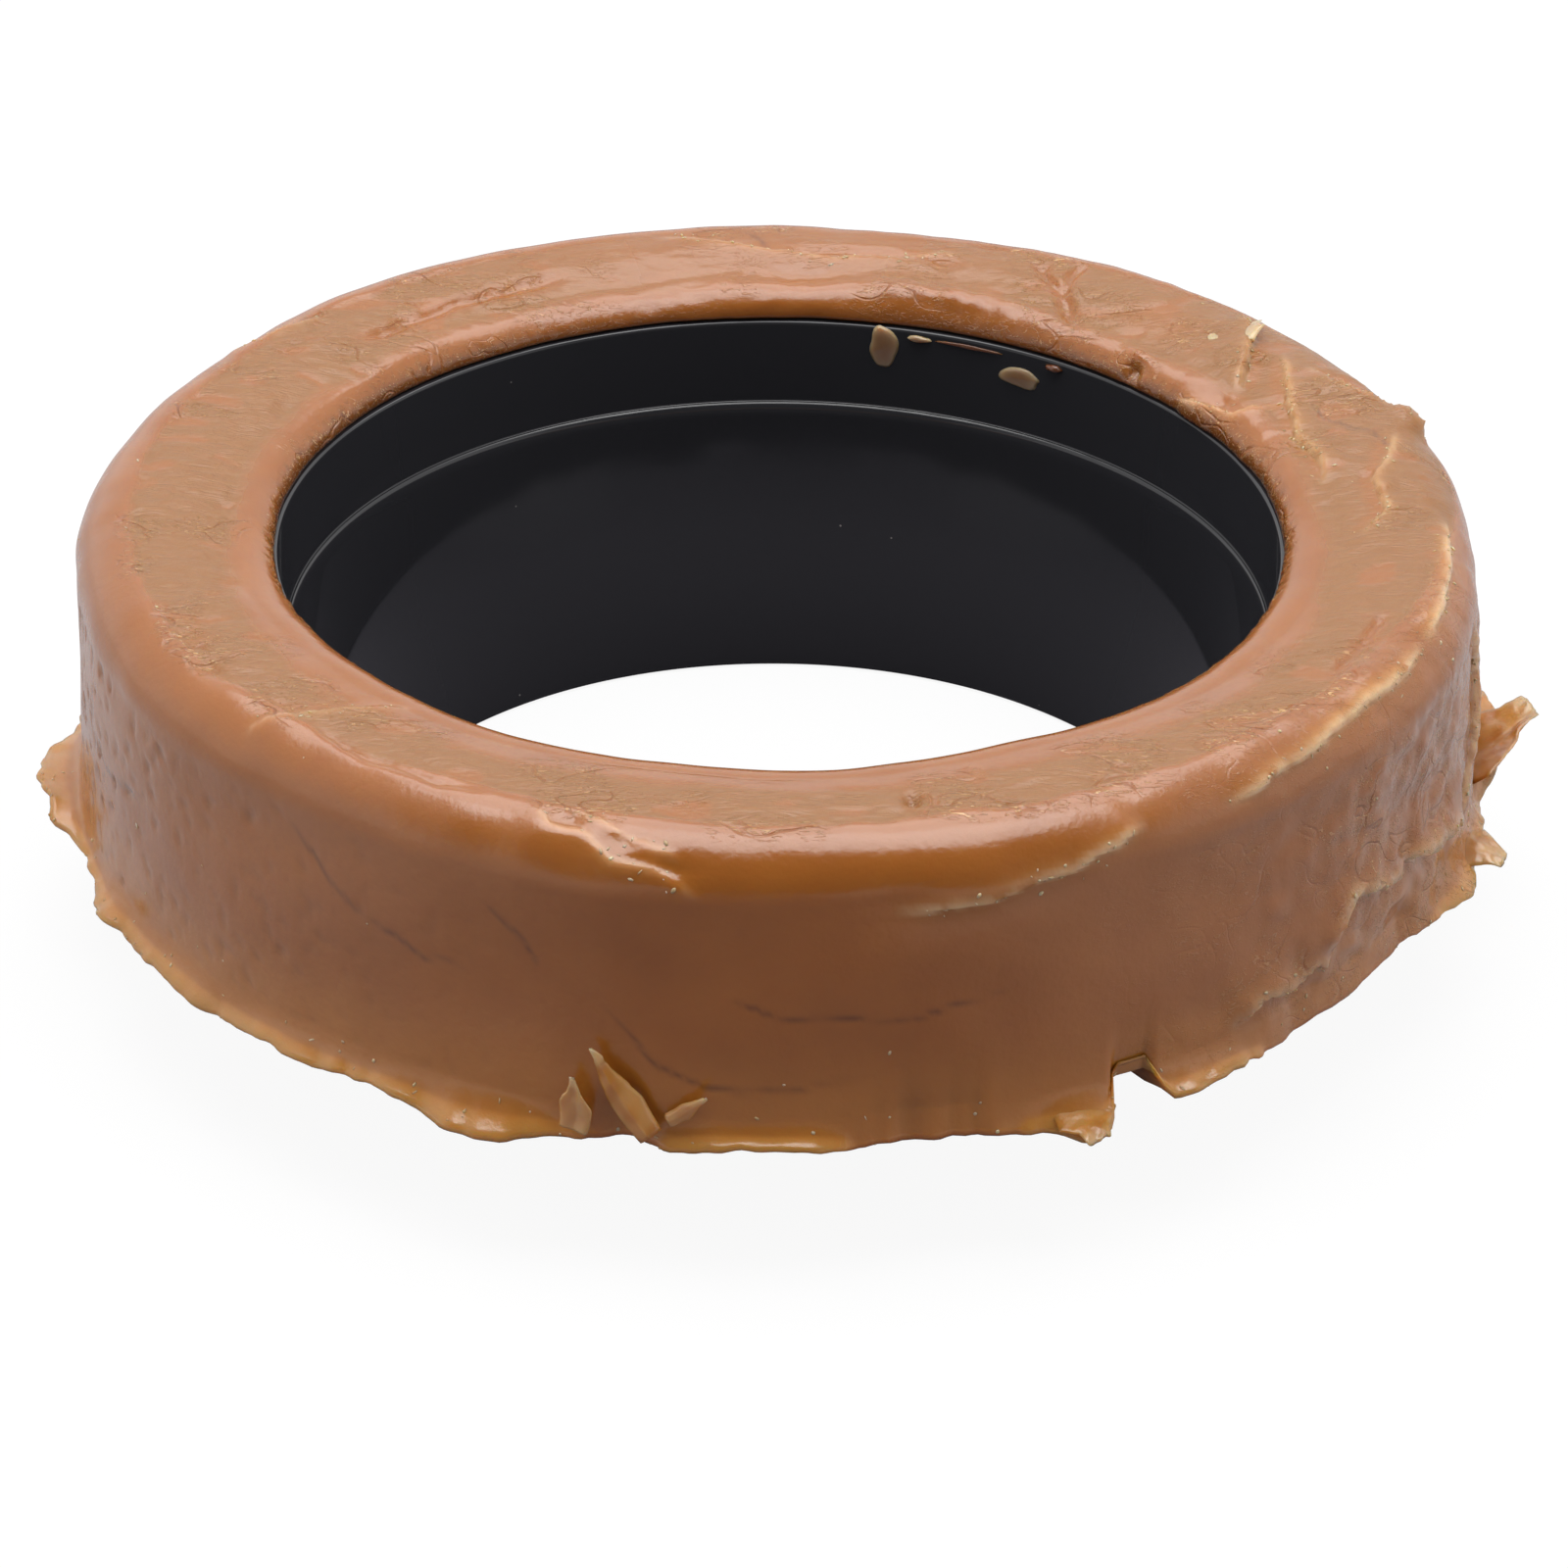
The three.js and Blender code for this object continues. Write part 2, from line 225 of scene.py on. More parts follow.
# Grooves where clear amber wax shows, and fine cracks darkened with painted shade
GROOVES = [
    {"name": "left back groove", "depth": 0.6, "wide": 0.9, "line": [(143, 7.6), (133.5, 7.8), (121, 8),
     (112, 8.6)]},
    {"name": "back groove", "depth": 0.4, "wide": 0.8, "line": [(90, 9.6), (80, 10.2), (69, 9.4)]},
    {"name": "fork, left arm", "depth": 0.6, "wide": 0.7, "line": [(64, 13.4), (61, 10), (58, 7.9),
     (52.5, 2.6)]},
    {"name": "fork, right arm", "depth": 0.5, "wide": 0.5, "line": [(58.8, 15), (59, 11), (58, 7.9)]},
    {"name": "band's amber edge", "depth": 0.35, "wide": 0.45, "line": [(228, 13.4), (234.5, 14.2),
     (241, 14.6), (247, 14.2)]},
    {"name": "right amber edge", "depth": 0.3, "wide": 0.7, "line": [(338, 12.6), (331, 12.8),
     (324, 13.4)]},
]
CRACK_WIDTH = 0.22
CRACK_DEPTH = 0.05
CRACKS = [
    {"name": "long front crack", "line": [(266.5, 30.4), (268, 31.2), (274, 32), (280, 32.5),
     (289.5, 30.2)]},
    {"name": "crack above the tag", "line": [(248, 24), (250.5, 26.5), (252.5, 29.5)]},
    {"name": "crack beside the tag", "line": [(256.5, 31.5), (261, 36.4), (265, 38.6), (270, 39),
     (278, 37.4)]},
    {"name": "left front crack", "line": [(229, 22), (236, 28), (243, 31), (247, 30.5)]},
    {"name": "back crack", "line": [(94.5, 15), (92.5, 12), (91.5, 9)]},
    {"name": "right back crack", "line": [(22, 8.8), (17, 9.4), (14, 12), (9, 14)]},
    {"name": "low left crack", "line": [(195, 30), (203, 31.5), (212, 30)]},
]
# Dents and rolls: place, half size along and over the ring, height
SWELLS = [
    {"name": "gouge 1", "at": (253.8, 16), "size": (1.6, 0.7), "height": -0.35},
    {"name": "gouge 2", "at": (258.5, 17), "size": (1.4, 0.8), "height": -0.3},
    {"name": "gouge 3", "at": (262, 19), "size": (1.7, 0.7), "height": -0.35},
    {"name": "pit", "at": (281.5, 10.8), "size": (0.7, 1.4), "height": -0.8},
    {"name": "bore nick", "at": (42.5, 1.4), "size": (0.9, 1.1), "height": -0.8},
    {"name": "roll over the nick", "at": (43, 3), "size": (1.4, 0.7), "height": 0.5},
    {"name": "back roll", "at": (70, 3.8), "size": (8.5, 1.8), "height": 0.75},
    {"name": "hollow left of the roll", "at": (88, 5.2), "size": (5, 1.6), "height": -0.5},
    {"name": "bowl", "at": (28, 3.4), "size": (2.8, 1.4), "height": -0.5},
    {"name": "back bowl", "at": (46, 8.5), "size": (4.4, 3), "height": -0.35},
    {"name": "bump on the right edge", "at": (16.5, 17), "size": (1.8, 1.3), "height": 1},
    {"name": "left scar", "at": (215, 14.4), "size": (2.4, 0.9), "height": -0.35},
    {"name": "left pool", "at": (209, 13), "size": (2.2, 1.2), "height": -0.3},
]

# Torn leaves that stand off the ring, placed as in the part's source. Belly is where along its length a leaf
# is widest, and tip is its tip's width as a share of that. Lean moves its tip sideways, fold bends it along
# its middle, and pale is how whitish it is.
LEAVES = [
    {"name": "front tag", "at": 260.6, "out": 1.6, "up": 2.2, "length": 8, "width": 2.8, "rise": 101,
     "slant": -40, "belly": 0.35, "lean": -0.1, "fold": 0.35, "curl": 0.02, "pale": 0.1, "tip": 0.05},
    {"name": "curl beside the tag", "at": 255.6, "out": 1, "up": 2, "length": 3.6, "width": 3, "rise": 100,
     "slant": 14, "belly": 0.5, "lean": 0.3, "fold": -0.3, "curl": 0.3, "pale": 0.3, "tip": 0.15},
    {"name": "shred beside the tag", "at": 263, "out": 0.8, "up": 3.2, "length": 3.4, "width": 1.6,
     "rise": 100, "slant": 58, "belly": 0.4, "lean": 0.2, "fold": 0.2, "curl": 0.3, "pale": 0.3,
     "tip": 0.1},
    {"name": "back flap", "at": 37.8, "out": -9.2, "up": 26.9, "length": 4.4, "width": 6, "rise": 20,
     "slant": 46, "belly": 0.4, "lean": 0.3, "fold": 0.2, "curl": 0.4, "pale": 0.8, "tip": 0.5},
    {"name": "front lobe", "at": 293, "out": 0.4, "up": 0.9, "length": 3.6, "width": 6, "rise": -12,
     "slant": 14, "belly": 0.5, "lean": 0.2, "fold": 0, "curl": 0, "pale": 0, "tip": 0.4},
    {"name": "right flap", "at": 358, "out": 0.3, "up": 1.2, "length": 7.4, "width": 14, "rise": 40,
     "slant": 12, "belly": 0.2, "lean": -0.35, "fold": 0.2, "curl": 0.1, "pale": 0.05, "tip": 0.3},
    {"name": "right curl", "at": 345, "out": 0, "up": 1.2, "length": 3.8, "width": 7, "rise": 20,
     "slant": -12, "belly": 0.3, "lean": 0.25, "fold": -0.2, "curl": 0.35, "pale": 0.2, "tip": 0.3},
]
LEAF_THICKNESS = 0.8
LEAF_BURY = 0.9
LEAF_AWAY = 24
LEAF_ACROSS = 20

# Bits of wax smeared on the sleeve's bore: angle, top below the rim, size along and down, thickness
SMEARS = [
    {"name": "tongue", "at": 77, "top": 0, "wide": 2.9, "tall": 4.3, "thick": 0.35, "pale": 0.4},
    {"name": "flake", "at": 72.4, "top": 0.4, "wide": 2.6, "tall": 0.7, "thick": 0.35, "pale": 0.6},
    {"name": "lens", "at": 58.8, "top": 1.7, "wide": 4.8, "tall": 2, "thick": 0.3, "pale": 0.45},
    {"name": "amber flake", "at": 54, "top": 0.3, "wide": 1.9, "tall": 0.8, "thick": 0.5, "pale": 0},
    {"name": "wet streak", "at": 66, "top": 0.5, "wide": 6, "tall": 0.5, "thick": 0.15, "pale": 0},
]
SMEAR_RINGS = 6
SMEAR_SPOKES = 28

# Camera, fitted to the photograph: it stands in front of the rim's centre and above it, and looks a little
# below it
CAMERA_DISTANCE = 450
CAMERA_RISE = 27.36
CAMERA_DROP = 2.88
CAMERA_TURN = 0.09
CAMERA_ROLL = 0.45
SENSOR = 36
LENS = 114.5

# Crumbs: their inputs to the tree that strews them, with their least and largest radii in mm
CRUMBS = {
    "Mark": "crumbed",
    "Most per Square Metre": 1.2e6,
    "Smallest": (0.06, 0.05, 0.03),
    "Largest": (0.34, 0.2, 0.12),
    "Least Paleness": 0.4,
    "Paleness": 0.9,
    "Matt": 0.4,
    "Seed": 8,
}

# Stage. The softboxes and the ceiling's direction are in metres.
FLOOR_HALF = 3000
FLOOR_DROP = 0.2
FLOOR_GLOW = 0.92
FRONT_CEILING = (0, -0.78, 0.62)
SIDE_LIGHT = 2.2
LEAST_LIGHT = 0.04
SOFTBOX_HEIGHT = 0.73
SOFTBOXES = [
    {"name": "overhead_softbox", "back": -0.035, "size": (0.72, 0.47), "power": 4.8},
    {"name": "rear_softbox", "back": 0.475, "size": (0.72, 0.55), "power": 3.2},
]


def linear(hex_colour):
    """A linear RGBA colour from an sRGB hex value."""
    parts = [int(hex_colour[i : i + 2], 16) / 255 for i in (1, 3, 5)]
    return tuple(p / 12.92 if p <= 0.04045 else ((p + 0.055) / 1.055) ** 2.4 for p in parts) + (1,)


def add_node(tree, kind, sources=(), **settings):
    """Adds a node, sets its properties and inputs by name, and takes (source, input) pairs. A source is an
    output, a node for its first output, or a value."""
    node = tree.nodes.new(kind)
    for name, value in settings.items():
        if hasattr(node, name):
            setattr(node, name, value)
        else:
            node.inputs[name.replace("_", " ")].default_value = value
    for source, name in sources:
        if isinstance(source, bpy.types.Node):
            source = source.outputs[0]
        if isinstance(source, bpy.types.NodeSocket):
            tree.links.new(source, node.inputs[name])
        else:
            node.inputs[name].default_value = source
    return node


# Fields over the ring


def hump(degrees, at, half):
    """1 in the middle of a place on the ring, 0 from its half width on."""
    away = np.abs((degrees - at + 180) % 360 - 180)
    return np.where(away < half, np.cos(np.minimum(away / half, 1) * math.pi / 2) ** 2, 0)


def soft_step(x):
    """0 up to 0, 1 from 1 on, with a soft start and end."""
    x = np.clip(x, 0, 1)
    return x * x * (3 - 2 * x)


def bell(x, width):
    """1 at 0, and nearly 0 two widths away."""
    return np.exp(-((x / width) ** 2))


def tooth(turns):
    """A zigzag between -1 and 1, once for each turn."""
    return 4 * np.abs(turns - np.floor(turns + 0.5)) - 1


def noise_over(points, name, number=0):
    """A named noise, up to about its height either way. Each mark of a table gives its own number."""
    rule = NOISES[name]
    scaled = points / np.asarray(rule["size"], float) + (rule["seed"] + number)
    flat = scaled.reshape(-1, 3)
    values = np.fromiter((noise.noise(p) for p in flat), float, len(flat))
    return rule["height"] * values.reshape(scaled.shape[:-1])


def round_the_foot(degrees, name):
    """Noise along the foot of the wall, so that it closes on itself."""
    a = np.radians(degrees)
    foot = np.stack([wall_foot_r * np.cos(a), wall_foot_r * np.sin(a), np.zeros_like(a)], -1)
    return noise_over(foot, name)


def skirt_reach(degrees):
    teeth = sum(t["share"] * tooth(t["count"] * degrees / 360 + t["turn"]) for t in SKIRT_TEETH)
    places = sum(p["reach"] * hump(degrees, p["at"], p["half"]) for p in SKIRT_PLACES)
    tatters = round_the_foot(degrees, "tatters") + round_the_foot(degrees, "small tatters")
    return np.maximum(SKIRT_LEAST, SKIRT_REACH + SKIRT_WAVE * teeth + places + tatters)


def skirt_lift(degrees):
    wave = 0.5 * SKIRT_WAVE * np.sin(11 * np.radians(degrees))
    places = sum(p["lift"] * hump(degrees, p["at"], p["half"]) for p in SKIRT_PLACES)
    uneven = round_the_foot(degrees, "skirt's waves") + round_the_foot(degrees, "skirt's small waves")
    return np.minimum(SKIRT_HIGHEST, wave + places + uneven)


def lump(degrees, high):
    a = np.radians(degrees)
    return LUMP * (0.6 * np.sin(5 * a + 4 * high) + 0.4 * np.sin(9 * a - 7 * high))


# Wax ring


def wax_columns(degrees):
    """The ring's section as columns of radius, height, kind and thinness, which at the foot of the wall is a
    painted glow of light through the wax: from the lip outwards over the crest, down the wall, round the
    skirt, and back under and up through the seat of the sleeve."""
    reach = skirt_reach(degrees)
    tip_z = underside_z + skirt_lift(degrees)
    foot_r = wall_foot_r + np.minimum(0, reach)
    tip_r = foot_r + np.maximum(0.3, reach)
    film = soft_step((reach - 0.2) / 1.2)
    columns = []

    def put(r, z, kind, thin=0):
        columns.append((r + 0 * degrees, z + 0 * degrees, kind, thin + 0 * film))

    for t in np.linspace(0, math.pi / 2, 18):
        dent = lump(degrees + 40, 1) * math.sin(t)
        put(brow_r - BROW_ROUND * math.cos(t), lip_z + (brow_z - lip_z) * math.sin(t) + dent, "brow")
    for t in np.linspace(0, 1, 21)[1:]:
        dent = lump(degrees + 40, 1) * (1 - t)
        rise = (crest_z - brow_z) * math.sin(t * math.pi / 2)
        put(brow_r + (crest_inner_r - brow_r) * t, brow_z + rise + dent, "top")
    for t in np.linspace(0, 1, 6)[1:]:
        put(crest_inner_r + CREST_WIDTH * t, crest_z, "top")
    for t in np.linspace(0, math.pi / 2, 21)[1:]:
        radius = SHOULDER_ROUND + lump(degrees, 1) * math.sin(t)
        put(crest_outer_r + radius * math.sin(t), crest_z - SHOULDER_ROUND + radius * math.cos(t), "shoulder")
    wall_top_z = crest_z - SHOULDER_ROUND
    for t in np.linspace(0, 1, 39)[1:]:
        lean = (wall_foot_r - shoulder_r) * t + (foot_r - wall_foot_r) * t**8
        r = shoulder_r + lean + lump(degrees, 1 - t) * math.cos(t * math.pi / 2)
        z = wall_top_z + (underside_z + WALL_FLARE - wall_top_z) * t
        # Painted light: towards its foot the wall takes a little of the thin amber colour, a glow of light
        # through the wax
        put(r, z, "wall", WALL_FOOT_PAINTED_GLOW * soft_step(2.5 * t - 1.5))
    for t in np.linspace(0, 1, 12)[1:]:
        near, mid, far = (1 - t) ** 2, 2 * t * (1 - t), t * t
        r = near * foot_r + mid * (foot_r + 0.15) + far * tip_r
        z = near * (underside_z + WALL_FLARE) + mid * (underside_z + SKIRT_ROOT) + far * (tip_z + SKIRT_TIP)
        put(r, z, "skirt", WALL_FOOT_PAINTED_GLOW + (1 - WALL_FOOT_PAINTED_GLOW) * film * soft_step(2 * t - 1))
    put(tip_r + 0.15, tip_z + SKIRT_TIP / 2, "skirt", film)
    put(tip_r, tip_z, "skirt", film)
    inner_r = wall_foot_r - SKIRT_FOOT - SKIRT_HOLLOW * np.maximum(0, tip_z - underside_z - 1)
    for t in np.linspace(0, 1, 5)[1:]:
        put(tip_r + (inner_r - tip_r) * t, tip_z + (underside_z - tip_z) * t, "under", 0.8 * film * (1 - t))
    seat_r = np.interp(underside_z, [HORN_FOOT_Z, neck_z], [horn_end_r, neck_r]) + HORN_WALL + SEAT_GAP
    for t in np.linspace(0, 1, 8)[1:]:
        put(inner_r + (seat_r - inner_r) * t, underside_z, "under")
    put(neck_r + HORN_WALL + SEAT_GAP, neck_z, "seat")
    put(step_r + HORN_WALL + SEAT_GAP, collar_foot_z - SEAT_GAP, "seat")
    put(COLLAR_R + SEAT_GAP, collar_foot_z - SEAT_GAP, "seat")
    put(COLLAR_R + SEAT_GAP, step_z + SEAT_GAP, "seat")
    put(wax_inner_r, step_z + SEAT_GAP, "seat")
    put(wax_inner_r, lip_z, "seat")
    return columns


class Ring:
    """The ring as a grid: rows go round it, columns go over it from the lip. Its marks are shares of 1."""

    def __init__(self):
        degrees = np.arange(RING_STEPS) * 360 / RING_STEPS
        columns = wax_columns(degrees)
        self.kinds = np.array([kind for _, _, kind, _ in columns])
        self.r = np.stack([r for r, _, _, _ in columns], 1)
        z = np.stack([z for _, z, _, _ in columns], 1)
        self.degrees = degrees[:, None] + 0 * self.r
        a = np.radians(self.degrees)
        self.points = np.stack([self.r * np.cos(a), self.r * np.sin(a), z], -1)
        middle = np.stack([self.r.mean(0), z.mean(0)], 1)
        steps = np.hypot(*np.diff(middle, axis=0).T)
        self.over = np.concatenate([[0], np.cumsum(steps)])[None, :] + 0 * self.r
        names = ("pressed", "amber", "deep", "torn", "creased", "crumbed")
        self.marks = {name: np.zeros_like(self.r) for name in names}
        self.marks["thin"] = np.stack([thin for _, _, _, thin in columns], 1)

    def tangents(self):
        over = np.gradient(self.points, axis=1)
        around = np.roll(self.points, -1, 0) - np.roll(self.points, 1, 0)
        return [t / np.maximum(np.linalg.norm(t, axis=-1, keepdims=True), 1e-9) for t in (around, over)]

    def normals(self):
        around, over = self.tangents()
        n = np.cross(over, around)
        return n / np.maximum(np.linalg.norm(n, axis=-1, keepdims=True), 1e-9)

    def share(self, **kinds):
        """A weight for each vertex by the kind of its column."""
        return np.array([kinds.get(k, 0) for k in self.kinds])[None, :] + 0 * self.r

    def field(self, name, *kinds):
        """A named noise over the columns of these kinds, and 0 elsewhere."""
        chosen = np.isin(self.kinds, kinds)
        values = np.zeros_like(self.r)
        values[:, chosen] = noise_over(self.points[:, chosen], name)
        return values

    def ridges(self, name, *kinds):
        """A named noise folded over, so that it has sharp crests."""
        return NOISES[name]["height"] - 2 * np.abs(self.field(name, *kinds))

    def push(self, amount):
        self.points = self.points + self.normals() * amount[..., None]

    def mark(self, name, amount):
        self.marks[name] = np.maximum(self.marks[name], amount)

    def from_line(self, line):
        """Distance in mm from a line over the surface, signed so that it is negative on the right of the
        line's direction as seen from above, the share of the line's length, and the way to the positive
        side."""
        nearest = np.full(self.r.shape, 1e9)
        signed = np.zeros(self.r.shape)
        along = np.zeros(self.r.shape)
        way = np.zeros(self.r.shape + (2,))
        for i, ((a0, s0), (a1, s1)) in enumerate(zip(line, line[1:])):
            x = np.radians((self.degrees - a0 + 180) % 360 - 180) * self.r
            y = self.over - s0
            dx = math.radians((a1 - a0 + 180) % 360 - 180) * self.r
            dy = s1 - s0
            length = np.hypot(dx, dy)
            t = np.clip((x * dx + y * dy) / (length * length), 0, 1)
            d = np.hypot(x - t * dx, y - t * dy)
            closer = d < nearest
            nearest = np.where(closer, d, nearest)
            side = np.sign(dy * x - dx * y)
            signed = np.where(closer, d * side, signed)
            along = np.where(closer, (i + t) / (len(line) - 1), along)
            way[closer] = (np.stack([dy / length, -dx / length], -1))[closer]
        return signed, along, way


def add_unevenness(ring):
    """Hand marks: slow swells all over, and small lumps."""
    soft = ring.share(brow=0.7, top=0.9, shoulder=1, wall=0.8, skirt=0.7)
    kinds = TOP + ("wall", "skirt")
    ring.push(soft * (ring.field("slow swells", *kinds) + ring.field("small lumps", *kinds)))


def press_band(ring):
    """The pressed band: a little lower than the rest and matt, with wrinkles, glossier pools and clusters of
    creases. It spills over the shoulder at the right of the back. The lip has a bristly fringe, its troughs
    darkened with painted shade."""
    front = np.clip(-1.6 * np.sin(np.radians(ring.degrees)), 0, 1)
    wander = ring.field("band's wander", *TOP) + ring.field("band's small wander", *TOP)
    inner = BAND_INNER_BACK + (BAND_INNER_FRONT - BAND_INNER_BACK) * front + wander
    outer = BAND_OUTER + BAND_SPILL * hump(ring.degrees, 16, 50) - 0.8 * wander
    on_top = ring.share(brow=1, top=1, shoulder=1)
    band = on_top * soft_step((ring.over - inner) / BAND_INNER_SOFT)
    band = band * soft_step((outer - ring.over) / BAND_OUTER_SOFT)
    band = band * (1 - 0.7 * hump(ring.degrees, 92, 40))
    calm = 0.35 + 0.65 * soft_step((ring.field("band's calm places", *TOP) + 0.15) / 0.4)
    wrinkles = ring.ridges("wrinkles", *TOP) + ring.field("small wrinkles", *TOP)
    ring.push(band * (calm * wrinkles - BAND_DEPTH))
    pools = band * soft_step((ring.field("pools", *TOP) - 0.27) / 0.12)
    ring.push(-POOL_DEPTH * pools)
    ring.mark("pressed", band * (1 - 0.4 * pools))
    ring.mark("amber", 0.6 * pools)
    clusters = soft_step((ring.field("clusters of creases", *TOP) - 0.02) / 0.3)
    edges = bell(ring.over - outer, 0.8) + 0.5 * bell(ring.over - inner, 0.9)
    fringe = 0.8 * bell(ring.over - 1, 0.8) * (1 - hump(ring.degrees, 90, 70))
    ring.mark("creased", on_top * np.clip(clusters * (1.2 * edges + 0.45 * band) + fringe, 0, 1))
    bristles = np.zeros_like(ring.r)
    bristles[:, :LIP_COLUMNS] = noise_over((ring.points * (0.9, 0.9, 0.2))[:, :LIP_COLUMNS], "bristles")
    ring.push(0.2 * fringe * bristles)
    # Painted shade: the troughs between the bristles at the lip are darkened
    ring.mark("deep", 1.2 * fringe * np.maximum(0, -bristles))


def work_inner_slope(ring):
    """The slope down to the bore: lumpy and glossy at the back, and deep brown painted shade in the crevice
    at the lip.
    """
    back = hump(ring.degrees, 95, 75)
    right = hump(ring.degrees, 25, 45)
    on_slope = ring.share(brow=1, top=1) * soft_step((11 - ring.over) / 4)
    lumps = ring.field("slope's lumps", "brow", "top") + ring.ridges("slope's ridges", "brow", "top")
    ring.push(on_slope * (back + 0.8 * right) * lumps)
    # Painted shade: deep brown in the crevice at the lip, which faces the dark bore
    ring.mark("deep", ring.share(brow=1) * 0.8 * soft_step((1.7 - ring.over) / 1.4) * (1 - 0.5 * back))


def work_wall(ring):
    """The wall: fine dashes on the left, darkened with painted shade; crumples, folds and amber on the right;
    and some of each behind.
    """
    kinds = ("shoulder", "wall", "skirt")
    left = hump(ring.degrees, 205, 55) + 0.5 * hump(ring.degrees, 120, 50)
    right = hump(ring.degrees, 334, 44) + 0.6 * hump(ring.degrees, 50, 60)
    on_wall = ring.share(shoulder=0.35, wall=1, skirt=0.5)
    dashes = -np.maximum(0, ring.field("dashes", "wall") - 0.2)
    crumples = ring.field("crumples", *kinds) + ring.field("small crumples", *kinds)
    folds = np.abs(ring.field("folds", *kinds)) + np.abs(ring.field("small folds", *kinds))
    ring.push(on_wall * (0.4 * (left + 0.1) * dashes + right * (crumples - folds)))
    creases = 0.9 * right * (0.4 + ring.field("wall's creases", *kinds))
    ring.mark("creased", on_wall * np.clip(creases, 0, 0.8))
    ring.mark("amber", on_wall * 0.5 * right * soft_step((folds - 0.18) / 0.12))
    specks = soft_step((ring.over - 24) / 6) * ring.share(wall=1)
    # Painted shade: the dashes are darkened as pits
    ring.mark("deep", ring.share(wall=0.5) * (left + 0.1) * -dashes)
    ring.mark("crumbed", 0.003 * specks + 0.1 * ring.share(skirt=1, shoulder=0.05))


def towards_ends(along, share):
    """1 in the middle of a line, falling to 0 over this share of its length at each end."""
    return soft_step(np.minimum(along, 1 - along) / share)


def add_torn_edges(ring):
    """Each torn edge: the skin lifts towards the line, leans a little over it and ends in a pale lip, whitish
    torn wax that is partly a painted highlight on the lip's top.
    """
    for number, edge in enumerate(TORN_EDGES):
        height, pale = edge["height"], edge["pale"]
        signed, along, way = ring.from_line(edge["line"])
        fray = noise_over(ring.points, "fray", number) + noise_over(ring.points, "small fray", number)
        signed = signed + fray
        skin = ring.share(brow=1, top=1, shoulder=1, wall=1, skirt=0.5) * towards_ends(along, 1 / 6)
        proud = np.exp(-np.maximum(-signed, 0) / edge["spread"]) * soft_step(0.5 - signed / 0.5)
        ring.push(height * skin * (proud - 0.2 * bell(signed - 1.2, 1.1)))
        lean = 0.5 * height * skin * bell(signed + 0.3, 0.5)
        around, over = ring.tangents()
        ring.points = ring.points + lean[..., None] * (way[..., :1] * around + way[..., 1:] * over)
        broken = soft_step(1 + noise_over(ring.points, "broken lip", number))
        # Whitish torn wax, partly a painted highlight on the lip's top edge
        ring.mark("torn", pale * broken * skin * bell(signed + 0.2, 0.2 + 0.3 * height))
        ring.mark("thin", 0.45 * pale * skin * bell(signed + 0.1, 0.9))
        ring.mark("amber", 0.7 * skin * bell(signed - 0.9, 0.7))
        ring.mark("crumbed", 0.6 * skin * bell(signed, 0.8))


def add_grooves(ring):
    for number, groove in enumerate(GROOVES):
        signed, along, _ = ring.from_line(groove["line"])
        wander = signed + noise_over(ring.points, "groove's wander", number)
        share = towards_ends(along, 1 / 5) * bell(wander, groove["wide"]) * (np.abs(signed) < 4)
        ring.push(-groove["depth"] * share)
        ring.mark("amber", share)
        ring.marks["pressed"] *= 1 - share


def add_cracks(ring):
    for number, crack in enumerate(CRACKS):
        signed, along, _ = ring.from_line(crack["line"])
        wander = signed + noise_over(ring.points, "crack's wander", number)
        broken = soft_step(1 + noise_over(ring.points, "broken crack", number))
        share = towards_ends(along, 1 / 5) * broken * bell(wander, CRACK_WIDTH) * (np.abs(signed) < 3)
        ring.push(-CRACK_DEPTH * share)
        # Painted shade: the cracks are darkened
        ring.mark("deep", 0.6 * share)


def add_swells(ring):
    for swell in SWELLS:
        at, over = swell["at"]
        wide, tall = swell["size"]
        x = np.radians((ring.degrees - at + 180) % 360 - 180) * ring.r / wide
        y = (ring.over - over) / tall
        share = np.exp(-(x * x + y * y)) * (1 + noise_over(ring.points, "dent's unevenness"))
        ring.push(swell["height"] * share)
        if swell["height"] < 0:
            ring.mark("amber", 0.6 * np.clip(share, 0, 1))


def ring_faces(ring):
    rows, count = ring.r.shape
    here = np.arange(rows)[:, None] * count
    after = (np.arange(rows)[:, None] + 1) % rows * count
    k = np.arange(count)[None, :]
    m = (k + 1) % count
    return np.stack([here + k, here + m, after + m, after + k], -1).reshape(-1, 4)


def make_object(name, points_mm, faces, material, edges=(), smooth=True):
    mesh = bpy.data.meshes.new(name)
    mesh.from_pydata((np.asarray(points_mm) * MM).tolist(), edges, [tuple(map(int, f)) for f in faces])
    mesh.validate()
    mesh.polygons.foreach_set("use_smooth", [smooth] * len(mesh.polygons))
    mesh.materials.append(material)
    obj = bpy.data.objects.new(name, mesh)
    bpy.context.collection.objects.link(obj)
    return obj


def set_attribute(obj, name, values):
    layer = obj.data.attributes.new(name, "FLOAT", "POINT")
    layer.data.foreach_set("value", np.asarray(values, np.float32).reshape(-1))


def make_wax_ring(material):
    ring = Ring()
    add_unevenness(ring)
    press_band(ring)
    work_inner_slope(ring)
    work_wall(ring)
    add_grooves(ring)
    add_torn_edges(ring)
    add_cracks(ring)
    add_swells(ring)
    obj = make_object("poured_wax_ring", ring.points.reshape(-1, 3), ring_faces(ring), material)
    for name, share in ring.marks.items():
        set_attribute(obj, name, share)
    return obj


# Torn leaves and smears


def join_meshes(meshes):
    """One list of points and one of faces from several meshes."""
    points, faces = [], []
    for verts, polygons in meshes:
        start = len(points)
        points += verts
        faces += [tuple(start + v for v in polygon) for polygon in polygons]
    return points, faces


